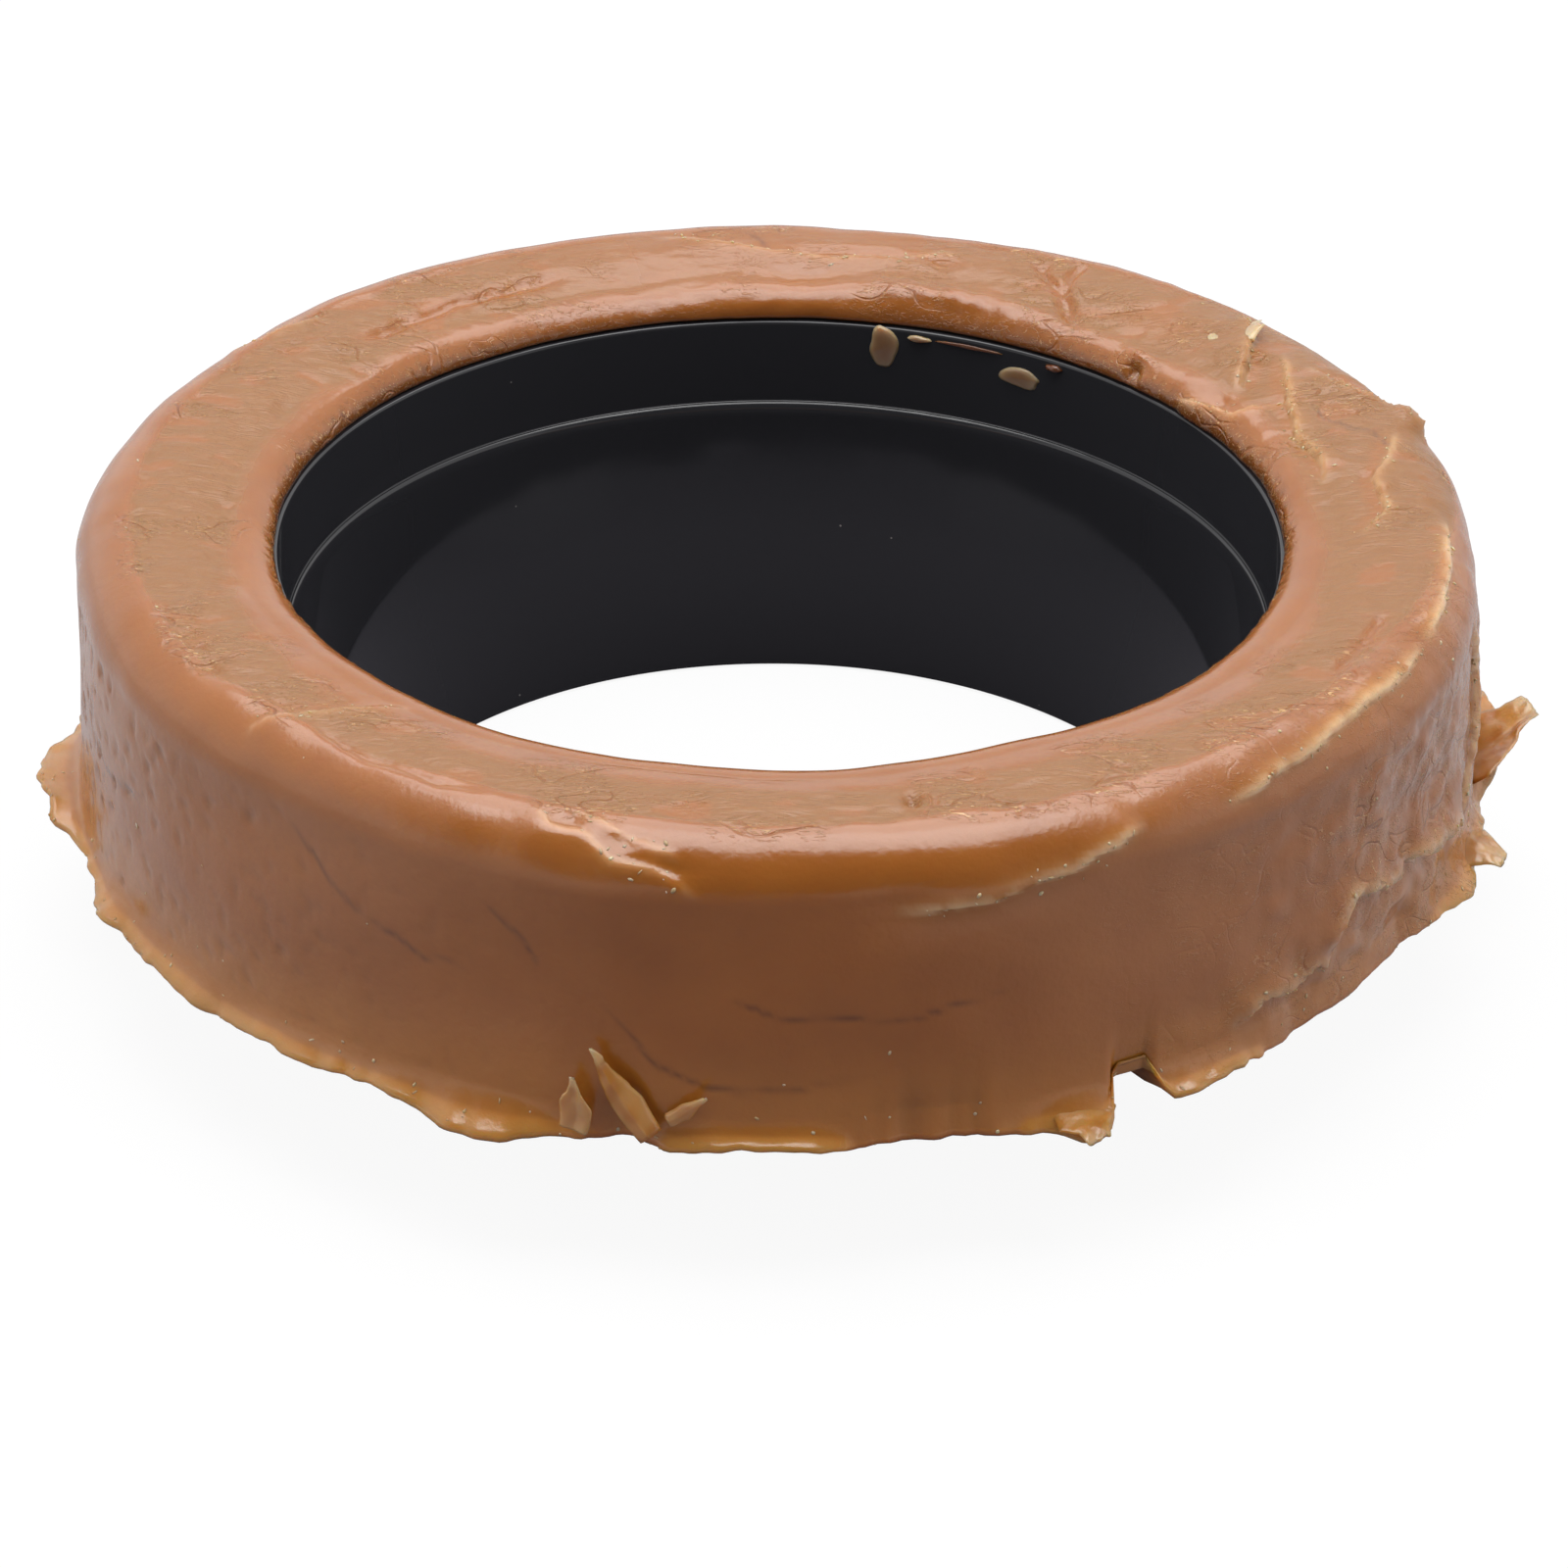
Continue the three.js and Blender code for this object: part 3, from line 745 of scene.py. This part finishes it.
def closed_sheet(rows, count):
    """Faces of a sheet with two sides and a rim: a grid of points on top, then the same grid below."""
    lower = rows * count
    faces = []
    for i in range(rows - 1):
        for k in range(count - 1):
            a = i * count + k
            b, c, d = a + 1, a + count + 1, a + count
            faces.append((a, b, c, d))
            faces.append((lower + d, lower + c, lower + b, lower + a))
    rim = list(range(count))
    rim += [i * count + count - 1 for i in range(1, rows)]
    rim += [(rows - 1) * count + k for k in range(count - 2, -1, -1)]
    rim += [i * count for i in range(rows - 2, 0, -1)]
    for a, b in zip(rim, rim[1:] + rim[:1]):
        faces.append((b, a, lower + a, lower + b))
    return faces


def leaf_mesh(leaf, number):
    """A torn leaf of wax: thick at its buried root, thin and ragged at its tip. It starts lying along +Y."""
    tops, unders = [], []
    for t in np.linspace(0, 1, LEAF_AWAY):
        shares = [0.8, 1, max(0.45, leaf["tip"] + 0.15), leaf["tip"]]
        half = leaf["width"] / 2 * np.interp(t, [0, leaf["belly"], 0.75, 1], shares)
        middle = leaf["lean"] * leaf["length"] * t * t
        for u in np.linspace(-1, 1, LEAF_ACROSS):
            flat = Vector((u * half, t * leaf["length"], number * 7.3))
            fray = noise.noise(flat / 1.6) * 0.4 + noise.noise(flat / 0.6) * 0.2
            x = middle + u * half + fray * abs(u) * t
            y = -LEAF_BURY + t * (leaf["length"] + LEAF_BURY) + fray * t
            bend = leaf["fold"] * abs(u) * half - leaf["curl"] * leaf["length"] * t * t
            crumple = (0.5 * noise.noise(flat / 2.2) + 0.2 * noise.noise(flat / 0.8)) * t
            body = max(0.12, (1 - u**4) ** 0.5)
            thick = LEAF_THICKNESS / 2 * (1 - 0.62 * t) * body
            tops.append((x, y, bend + crumple + thick))
            unders.append((x, y, bend + crumple - thick))
    place = (
        Matrix.Rotation(math.radians(leaf["at"] - 90), 4, "Z")
        @ Matrix.Translation((0, wall_foot_r + leaf["out"], underside_z + leaf["up"]))
        @ Matrix.Rotation(math.radians(leaf["rise"]), 4, "X")
        @ Matrix.Rotation(math.radians(leaf["slant"]), 4, "Z")
    )
    return [tuple(place @ Vector(v)) for v in tops + unders], closed_sheet(LEAF_AWAY, LEAF_ACROSS)


def make_leaves(material):
    points, faces = join_meshes(leaf_mesh(leaf, number) for number, leaf in enumerate(LEAVES))
    obj = make_object("torn_wax_leaves", points, faces, material)
    tips = np.tile(np.repeat(np.linspace(0, 1, LEAF_AWAY), LEAF_ACROSS), 2 * len(LEAVES))
    pale = np.repeat([leaf["pale"] for leaf in LEAVES], 2 * LEAF_AWAY * LEAF_ACROSS)
    blotches = noise_over(np.array(points), "leaf's blotches")
    set_attribute(obj, "thin", 0.8 + 0.2 * tips)
    set_attribute(obj, "amber", 0.3 * soft_step(0.4 - 2 * blotches))
    set_attribute(obj, "deep", 0.2 * (1 - tips) ** 2)
    set_attribute(obj, "torn", np.clip(pale + 0.25 * blotches + 0.6 * soft_step((tips - 0.7) / 0.3), 0, 1))
    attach(obj, "root")
    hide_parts("wax_ring")


def smear_mesh(smear, number):
    """A flat drop of wax on the bore: a low dome with a ragged outline, its back just inside the plastic."""
    points, faces = [], []
    middle_r = spigot_foot_r + SPIGOT_DRAFT / 2
    centre_z = RIM_Z - smear["top"] - smear["tall"] / 2

    def put(share, turn, depth):
        ragged = 1 + 0.35 * noise.noise(Vector((math.cos(turn) * 1.1, math.sin(turn) * 1.1, number * 3.1)))
        x = share * ragged * smear["wide"] / 2 * math.cos(turn)
        y = share * ragged * smear["tall"] / 2 * math.sin(turn)
        angle = math.radians(smear["at"]) + x / RIM_BORE_R
        r = middle_r - depth
        points.append((r * math.cos(angle), r * math.sin(angle), centre_z + y))

    put(0, 0, smear["thick"])
    for k in range(1, SMEAR_RINGS + 1):
        share = k / SMEAR_RINGS
        for i in range(SMEAR_SPOKES):
            put(share, 2 * math.pi * i / SMEAR_SPOKES, smear["thick"] * (1 - share * share) ** 0.6 - 0.05)
    put(0, 0, -0.3)
    back = len(points) - 1
    for i in range(SMEAR_SPOKES):
        m = (i + 1) % SMEAR_SPOKES
        faces.append((0, 1 + i, 1 + m))
        for k in range(SMEAR_RINGS - 1):
            near, far = 1 + k * SMEAR_SPOKES, 1 + (k + 1) * SMEAR_SPOKES
            faces.append((near + i, far + i, far + m, near + m))
        outer = 1 + (SMEAR_RINGS - 1) * SMEAR_SPOKES
        faces.append((outer + i, back, outer + m))
    return points, faces


def make_smears(material):
    points, faces = join_meshes(smear_mesh(smear, number) for number, smear in enumerate(SMEARS))
    rings = np.repeat(np.arange(1, SMEAR_RINGS + 1) / SMEAR_RINGS, SMEAR_SPOKES)
    outwards = np.concatenate([[0], rings, [1]])
    pale = np.concatenate([smear["pale"] * (0.3 + 0.7 * outwards**3) for smear in SMEARS])
    obj = make_object("wax_smears", points, faces, material)
    set_attribute(obj, "deep", np.full(len(points), 1))
    set_attribute(obj, "torn", pale)
    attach(obj, "root")


# Geometry Nodes


def new_tree(name, inputs):
    """A Geometry Nodes tree with a geometry in and out and these named inputs, and the input's own node."""
    tree = bpy.data.node_groups.new(name, "GeometryNodeTree")
    tree.interface.new_socket("Geometry", in_out="INPUT", socket_type="NodeSocketGeometry")
    tree.interface.new_socket("Geometry", in_out="OUTPUT", socket_type="NodeSocketGeometry")
    for label, kind in inputs.items():
        tree.interface.new_socket(label, in_out="INPUT", socket_type=kind)
    return tree, add_node(tree, "NodeGroupInput").outputs


def finish_tree(tree, given, geometry):
    """Ends a tree with real meshes, smooth faces and the material."""
    real = add_node(tree, "GeometryNodeRealizeInstances", [(geometry, "Geometry")])
    smooth = add_node(tree, "GeometryNodeSetShadeSmooth", [(real, "Geometry")])
    sources = [(smooth, "Geometry"), (given["Material"], "Material")]
    coated = add_node(tree, "GeometryNodeSetMaterial", sources)
    add_node(tree, "NodeGroupOutput", [(coated, "Geometry")])


def grow(name, source, tree, values):
    """A new plain object from what the tree makes of the source's mesh."""
    modifier = source.modifiers.new(name, "NODES")
    modifier.node_group = tree
    for socket in tree.interface.items_tree:
        if socket.in_out == "INPUT" and socket.name in values:
            modifier[socket.identifier] = values[socket.name]
    depsgraph = bpy.context.evaluated_depsgraph_get()
    mesh = bpy.data.meshes.new_from_object(source.evaluated_get(depsgraph), depsgraph=depsgraph)
    source.modifiers.remove(modifier)
    mesh.name = name
    obj = bpy.data.objects.new(name, mesh)
    bpy.context.collection.objects.link(obj)
    return obj


def revolving_tree():
    """Turns a closed section, drawn as a line beside the bore, round the bore's axis."""
    inputs = {"Bore Radius": "NodeSocketFloat", "Steps": "NodeSocketInt", "Material": "NodeSocketMaterial"}
    tree, given = new_tree("revolved_section", inputs)
    section = add_node(tree, "GeometryNodeMeshToCurve", [(given["Geometry"], "Mesh")])
    sources = [(given["Steps"], "Resolution"), (given["Bore Radius"], "Radius")]
    path = add_node(tree, "GeometryNodeCurvePrimitiveCircle", sources)
    wall = add_node(tree, "GeometryNodeCurveToMesh", [(path, "Curve"), (section, "Profile Curve")])
    finish_tree(tree, given, wall)
    return tree


def strewing_tree():
    """Strews crumbs over the ring where a mark says so, each turned and sized by chance."""
    inputs = {
        "Mark": "NodeSocketString",
        "Most per Square Metre": "NodeSocketFloat",
        "Smallest": "NodeSocketVector",
        "Largest": "NodeSocketVector",
        "Least Paleness": "NodeSocketFloat",
        "Paleness": "NodeSocketFloat",
        "Matt": "NodeSocketFloat",
        "Seed": "NodeSocketInt",
        "Material": "NodeSocketMaterial",
    }
    tree, given = new_tree("strewn_crumbs", inputs)
    seed = (given["Seed"], "Seed")
    mark = add_node(tree, "GeometryNodeInputNamedAttribute", [(given["Mark"], "Name")], data_type="FLOAT")
    sources = [(mark, 0), (given["Most per Square Metre"], 1)]
    density = add_node(tree, "ShaderNodeMath", sources, operation="MULTIPLY")
    sources = [(given["Geometry"], "Mesh"), (density, "Density"), seed]
    places = add_node(tree, "GeometryNodeDistributePointsOnFaces", sources)
    turn = add_node(tree, "FunctionNodeRandomValue", [(2 * math.pi, 3), seed], data_type="FLOAT")
    spin = add_node(tree, "ShaderNodeCombineXYZ", [(turn.outputs[1], "Z")])
    spun = add_node(tree, "FunctionNodeEulerToRotation", [(spin, "Euler")])
    sources = [(places.outputs["Rotation"], "Rotation"), (spun, "Rotate By")]
    rotated = add_node(tree, "FunctionNodeRotateRotation", sources, rotation_space="LOCAL")
    crumb = add_node(tree, "GeometryNodeMeshIcoSphere", Subdivisions=1, Radius=MM)
    sources = [(given["Smallest"], 0), (given["Largest"], 1), seed]
    size = add_node(tree, "FunctionNodeRandomValue", sources, data_type="FLOAT_VECTOR")
    sources = [(places, "Points"), (crumb, "Instance"), (rotated, "Rotation"), (size, "Scale")]
    stored = add_node(tree, "GeometryNodeInstanceOnPoints", sources)
    sources = [(given["Least Paleness"], 2), (given["Paleness"], 3)]
    pale = add_node(tree, "FunctionNodeRandomValue", sources, data_type="FLOAT").outputs[1]
    for label, value in (("torn", pale), ("pressed", given["Matt"])):
        stored = add_node(
            tree,
            "GeometryNodeStoreNamedAttribute",
            [(stored, "Geometry"), (value, "Value")],
            data_type="FLOAT",
            domain="INSTANCE",
            Name=label,
        )
    finish_tree(tree, given, stored)
    return tree


def make_crumbs(ring, material):
    """Crumbs of wax along the torn edges, on the skirt and here and there on the wall."""
    crumbs = grow("wax_crumbs", ring, strewing_tree(), CRUMBS | {"Material": material})
    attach(crumbs, "root")


# Sleeve


def rounded(corners, radius_at, steps=5):
    """The section with these corners cut: a quadratic curve that starts and ends at the given distance."""
    out = []
    for i, corner in enumerate(corners):
        radius = radius_at.get(i, 0)
        p = Vector(corner)
        if not radius:
            out.append(tuple(p))
            continue
        before = Vector(corners[i - 1]) - p
        after = Vector(corners[(i + 1) % len(corners)]) - p
        start = p + before.normalized() * radius
        end = p + after.normalized() * radius
        for t in np.linspace(0, 1, steps):
            out.append(tuple(start * (1 - t) ** 2 + p * 2 * t * (1 - t) + end * t * t))
    return out


def make_sleeve(material):
    section = [
        {"at": (horn_end_r, HORN_FOOT_Z), "round": EDGE_ROUND},
        {"at": (horn_end_r + HORN_WALL, HORN_FOOT_Z), "round": EDGE_ROUND},
        {"at": (neck_r + HORN_WALL, neck_z)},
        {"at": (step_r + HORN_WALL, collar_foot_z)},
        {"at": (COLLAR_R, collar_foot_z)},
        {"at": (COLLAR_R, step_z)},
        {"at": (spigot_outer_r, step_z)},
        {"at": (spigot_outer_r, RIM_Z), "round": EDGE_ROUND},
        {"at": (RIM_BORE_R, RIM_Z), "round": EDGE_ROUND},
        {"at": (spigot_foot_r, step_z + STEP_HEIGHT), "round": STEP_TOP_ROUND},
        {"at": (spigot_foot_r - STEP_LEDGE, step_z + STEP_HEIGHT - STEP_FALL), "round": STEP_ROUND},
        {"at": (step_r, step_z), "round": STEP_FOOT_ROUND},
        {"at": (neck_r, neck_z), "round": NECK_ROUND},
    ]
    corners = [corner["at"] for corner in section]
    rounds = {i: corner.get("round", 0) for i, corner in enumerate(section)}
    # The revolving tree takes the section with its depth along +Y and the bore at its zero
    line = [(r - RIM_BORE_R, -z, 0) for r, z in reversed(rounded(corners, rounds))]
    loop = [(k, (k + 1) % len(line)) for k in range(len(line))]
    drawn = make_object("sleeve_section", line, [], material, edges=loop)
    values = {"Bore Radius": RIM_BORE_R * MM, "Steps": SLEEVE_STEPS, "Material": material}
    obj = grow("moulded_sleeve", drawn, revolving_tree(), values)
    bpy.data.objects.remove(drawn)
    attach(obj, "root")
    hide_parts("horn_sleeve")


# Materials


def new_material(name):
    material = bpy.data.materials.new(name)
    material.use_nodes = True
    tree = material.node_tree
    tree.nodes.clear()
    return material, tree


def petroleum_wax():
    """Petroleum wax, poured and handled: a glossy translucent orange brown, matt tan where paper pressed it,
    clear amber in pools and thin edges, whitish where it is torn. Light is painted into the colour too:
    glints on the wrinkles and partly on the torn lips, shade in the cracks, the wall's dashes and the crevice
    at the lip, and a glow at the foot of the wall."""
    material, tree = new_material("petroleum_wax_poured")
    place = add_node(tree, "ShaderNodeTexCoord").outputs["Object"]
    share = {}
    for name in ("pressed", "amber", "deep", "thin", "torn", "creased"):
        share[name] = add_node(tree, "ShaderNodeAttribute", attribute_name=name).outputs["Fac"]

    # Noises, with the width of a bump in mm from left to right and across
    patterns = [
        {"name": "clouds", "wide": 7, "deep": 7, "detail": 4, "distortion": 0},
        {"name": "grain", "wide": 0.7, "deep": 0.7, "detail": 3, "distortion": 0},
        {"name": "streaks", "wide": 4, "deep": 1.2, "detail": 5, "distortion": 2},
        {"name": "strokes", "wide": 1.8, "deep": 0.5, "detail": 2, "distortion": 2.5},
        {"name": "folds", "wide": 7, "deep": 5, "detail": 1, "distortion": 0.6},
    ]
    for pattern in patterns:
        wide, deep = pattern["wide"] * MM, pattern["deep"] * MM
        scale = (1 / wide, 1 / deep, 1 / deep)
        stretched = add_node(tree, "ShaderNodeMapping", [(place, "Vector")], Scale=scale)
        share[pattern["name"]] = add_node(
            tree,
            "ShaderNodeTexNoise",
            [(stretched, "Vector")],
            Scale=1.0,
            Detail=pattern["detail"],
            Distortion=pattern["distortion"],
        )

    # Creases are thin lines where the folds pass their middle value. The strokes are the peaks of their
    # noise,
    # a little raised and painted pale: painted glints on the wrinkles
    middle = add_node(tree, "ShaderNodeMath", [(share["folds"], 0), (0.5, 1)], operation="SUBTRACT")
    away = add_node(tree, "ShaderNodeMath", [(middle, 0)], operation="ABSOLUTE")
    lines = add_node(tree, "ShaderNodeMapRange", [(away, "Value")], From_Max=0.02, To_Min=1.0, To_Max=0.0)
    peaks = add_node(tree, "ShaderNodeMapRange", [(share["strokes"], "Value")], From_Min=0.57, From_Max=0.64)
    for name, mask in (("creases", lines), ("strokes", peaks)):
        sources = [(mask, 0), (share["creased"], 1)]
        share[name] = add_node(tree, "ShaderNodeMath", sources, operation="MULTIPLY")

    # Body colours, the glossy and the pressed, then one colour over the other by its share
    bodies = []
    for pattern, first, second in (("clouds", "#8a4c12", "#9d5d1d"), ("streaks", "#825018", "#905d24")):
        ends = {"A": linear(first), "B": linear(second)}
        body = add_node(tree, "ShaderNodeMix", [(share[pattern], "Factor")], data_type="RGBA", **ends)
        bodies.append(body.outputs["Result"])
    sources = [(share["pressed"], "Factor"), (bodies[0], "A"), (bodies[1], "B")]
    colour = add_node(tree, "ShaderNodeMix", sources, data_type="RGBA").outputs["Result"]
    layers = {
        # Clear amber where the wax is thin; at the foot of the wall a painted glow of light through the wax
        "thin": "#e3a04a",
        "amber": "#96550e",
        # Deep brown: painted shade in the lip's crevice and fringe, in cracks and in the wall's dashes; also
        # all over the smears and towards the leaves' roots
        "deep": "#552a0c",
        "creases": "#96551a",
        # Painted highlight: pale glints on the wrinkles
        "strokes": "#cda06c",
        # Whitish torn wax; along the torn edges partly a painted highlight on the lips' tops
        "torn": "#e6c597",
    }
    for name, over in layers.items():
        sources = [(share[name], "Factor"), (colour, "A")]
        colour = add_node(tree, "ShaderNodeMix", sources, data_type="RGBA", B=linear(over)).outputs["Result"]

    # Fine relief, in parts of the bump's distance
    sources = [(share["streaks"], 0), (share["pressed"], 1)]
    pressed_streaks = add_node(tree, "ShaderNodeMath", sources, operation="MULTIPLY")
    height = share["grain"]
    for relief, depth in ((pressed_streaks, 2.5), (share["strokes"], 8), (share["creases"], -5)):
        sources = [(relief, 0), (depth, 1), (height, 2)]
        height = add_node(tree, "ShaderNodeMath", sources, operation="MULTIPLY_ADD")
    bump = add_node(tree, "ShaderNodeBump", [(height, "Height")], Strength=0.8, Distance=0.00006)

    # Sources of the shader: matt and less oily where it is pressed, clear where it is thin
    sources = [(colour, "Base Color"), (bump, "Normal")]
    ranges = [
        {"of": "pressed", "to": "Roughness", "start": 0, "low": 0.24, "high": 0.31},
        {"of": "thin", "to": "Transmission Weight", "start": 0.35, "low": 0, "high": 0.5},
        {"of": "pressed", "to": "Coat Weight", "start": 0, "low": 0.3, "high": 0.08},
    ]
    for rule in ranges:
        ends = {"From_Min": rule["start"], "To_Min": rule["low"], "To_Max": rule["high"]}
        mapped = add_node(tree, "ShaderNodeMapRange", [(share[rule["of"]], "Value")], **ends)
        sources.append((mapped, rule["to"]))
    shader = add_node(
        tree,
        "ShaderNodeBsdfPrincipled",
        sources,
        IOR=1.54,
        Subsurface_Weight=0.4,
        Subsurface_Scale=0.0025,
        Subsurface_Radius=(1, 0.4, 0.15),
        Coat_Roughness=0.1,
    )
    add_node(tree, "ShaderNodeOutputMaterial", [(shader, "Surface")])
    return material


def black_polyethylene():
    """Black polyethylene, injection moulded against a polished core: clear reflections, specks of dust."""
    material, tree = new_material("polyethylene_moulded_black")
    place = add_node(tree, "ShaderNodeTexCoord").outputs["Object"]
    haze = add_node(tree, "ShaderNodeTexNoise", [(place, "Vector")], Scale=1 / (10 * MM), Detail=3.0)
    gloss = add_node(tree, "ShaderNodeMapRange", [(haze, "Value")], To_Min=0.02, To_Max=0.07)
    flow = add_node(tree, "ShaderNodeTexNoise", [(place, "Vector")], Scale=1 / (20 * MM), Detail=2.0)
    ripple = add_node(tree, "ShaderNodeBump", [(flow, "Height")], Strength=0.1, Distance=0.4 * MM)
    # Dust specks 0.15 mm wide, about 6 mm apart
    dust = add_node(tree, "ShaderNodeTexVoronoi", [(place, "Vector")], Scale=1 / (6 * MM)).outputs["Distance"]
    ends = {"From_Min": 0.012, "From_Max": 0.02, "To_Min": 1.0, "To_Max": 0.0}
    speck = add_node(tree, "ShaderNodeMapRange", [(dust, "Value")], **ends)
    ends = {"A": linear("#27272a"), "B": linear("#8f8a86")}
    colour = add_node(tree, "ShaderNodeMix", [(speck, "Factor")], data_type="RGBA", **ends).outputs["Result"]
    sources = [(colour, "Base Color"), (gloss, "Roughness"), (ripple, "Normal")]
    shader = add_node(tree, "ShaderNodeBsdfPrincipled", sources, IOR=1.5)
    add_node(tree, "ShaderNodeOutputMaterial", [(shader, "Surface")])
    return material


# Stage


def white_floor():
    """A white sweep of paper. The camera, and what shows through the wax, see it nearly white with a trace of
    the object's shadow. Reflections find it bright at the sides and dim in front, and it sends little light
    back up."""
    material, tree = new_material("white_paper")
    rays = add_node(tree, "ShaderNodeLightPath").outputs
    sources = [(rays["Is Camera Ray"], 0), (rays["Is Transmission Ray"], 1)]
    direct = add_node(tree, "ShaderNodeMath", sources, operation="MAXIMUM")
    place = add_node(tree, "ShaderNodeTexCoord").outputs["Object"]
    sideways = add_node(tree, "ShaderNodeSeparateXYZ", [(place, 0)]).outputs["X"]
    away = add_node(tree, "ShaderNodeMath", [(sideways, 0)], operation="ABSOLUTE")
    lit = add_node(tree, "ShaderNodeMapRange", [(away, "Value")], From_Min=0.03, From_Max=0.1, To_Max=0.6)
    sources = [(lit, 0), (rays["Is Glossy Ray"], 1)]
    mirrored = add_node(tree, "ShaderNodeMath", sources, operation="MULTIPLY")
    sources = [(direct, 0), (FLOOR_GLOW, 1), (mirrored, 2)]
    share = add_node(tree, "ShaderNodeMath", sources, operation="MULTIPLY_ADD")
    ends = {"A": linear("#817e86"), "B": linear("#f4f4f4")}
    colour = add_node(tree, "ShaderNodeMix", [(direct, "Factor")], data_type="RGBA", **ends).outputs["Result"]
    paper = add_node(tree, "ShaderNodeBsdfDiffuse", [(colour, "Color")])
    seen = add_node(tree, "ShaderNodeEmission", Strength=1.0)
    mixed = add_node(tree, "ShaderNodeMixShader", [(share, "Fac"), (paper, 1), (seen, 2)])
    add_node(tree, "ShaderNodeOutputMaterial", [(mixed, "Surface")])
    return material


def make_floor():
    half = FLOOR_HALF
    points = [(-half, -half, 0), (half, -half, 0), (half, half, 0), (-half, half, 0)]
    floor = make_object("paper_floor", points, [(0, 1, 2, 3)], white_floor(), smooth=False)
    floor.location.z = -FLOOR_DROP * MM


def make_world():
    """White walls all round for the camera and for reflections, apart from a dark ceiling over the front, and
    a low light for the rest that comes from the sides."""
    world = bpy.data.worlds.new("studio")
    bpy.context.scene.world = world
    world.use_nodes = True
    tree = world.node_tree
    tree.nodes.clear()
    rays = add_node(tree, "ShaderNodeLightPath").outputs
    way = add_node(tree, "ShaderNodeTexCoord").outputs["Generated"]
    sources = [(way, 0), (FRONT_CEILING, 1)]
    towards = add_node(tree, "ShaderNodeVectorMath", sources, operation="DOT_PRODUCT").outputs["Value"]
    ends = {"From_Min": 0.45, "From_Max": 0.75, "To_Min": 1.0, "To_Max": 0.12}
    walls = add_node(tree, "ShaderNodeMapRange", [(towards, "Value")], **ends)
    sideways = add_node(tree, "ShaderNodeSeparateXYZ", [(way, 0)]).outputs["X"]
    squared = add_node(tree, "ShaderNodeMath", [(sideways, 0), (sideways, 1)], operation="MULTIPLY")
    sources = [(squared, 0), (SIDE_LIGHT, 1), (LEAST_LIGHT, 2)]
    fill = add_node(tree, "ShaderNodeMath", sources, operation="MULTIPLY_ADD")
    white = linear("#ffffff")
    soft = add_node(tree, "ShaderNodeBackground", [(fill, "Strength")], Color=white)
    mirrored = add_node(tree, "ShaderNodeBackground", [(walls, "Strength")], Color=white)
    backdrop = add_node(tree, "ShaderNodeBackground", Color=white, Strength=1.0)
    sources = [(rays["Is Glossy Ray"], "Fac"), (soft, 1), (mirrored, 2)]
    by_gloss = add_node(tree, "ShaderNodeMixShader", sources)
    sources = [(rays["Is Camera Ray"], 0), (rays["Is Transmission Ray"], 1)]
    seen = add_node(tree, "ShaderNodeMath", sources, operation="MAXIMUM")
    mixed = add_node(tree, "ShaderNodeMixShader", [(seen, "Fac"), (by_gloss, 1), (backdrop, 2)])
    add_node(tree, "ShaderNodeOutputWorld", [(mixed, "Surface")])


def make_lights():
    """Softboxes overhead, level with the floor."""
    for softbox in SOFTBOXES:
        lamp = bpy.data.lights.new(softbox["name"], "AREA")
        lamp.shape = "RECTANGLE"
        lamp.size, lamp.size_y = softbox["size"]
        lamp.energy = softbox["power"]
        obj = bpy.data.objects.new(softbox["name"], lamp)
        obj.location = (0, softbox["back"], SOFTBOX_HEIGHT)
        bpy.context.collection.objects.link(obj)


def make_camera():
    rise = math.radians(CAMERA_RISE)
    turned = (
        Matrix.Rotation(math.radians(-CAMERA_TURN), 4, "Z")
        @ Matrix.Rotation(math.radians(90 - CAMERA_RISE - CAMERA_DROP), 4, "X")
        @ Matrix.Rotation(math.radians(CAMERA_ROLL), 4, "Z")
    )
    eye = Vector((0, -math.cos(rise), math.sin(rise))) * CAMERA_DISTANCE + Vector((0, 0, RIM_Z))
    camera = bpy.data.cameras.new("camera")
    camera.sensor_width = SENSOR
    camera.lens = LENS
    camera.clip_start = 0.01
    obj = bpy.data.objects.new("camera", camera)
    obj.matrix_world = Matrix.Translation(eye * MM) @ turned
    bpy.context.collection.objects.link(obj)
    bpy.context.scene.camera = obj


bpy.context.scene.view_settings.view_transform = "Standard"
make_camera()
make_world()
make_lights()
make_floor()
wax = petroleum_wax()
wax_ring = make_wax_ring(wax)
make_crumbs(wax_ring, wax)
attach(wax_ring, "root")
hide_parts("wax_ring")
make_leaves(wax)
make_smears(wax)
make_sleeve(black_polyethylene())
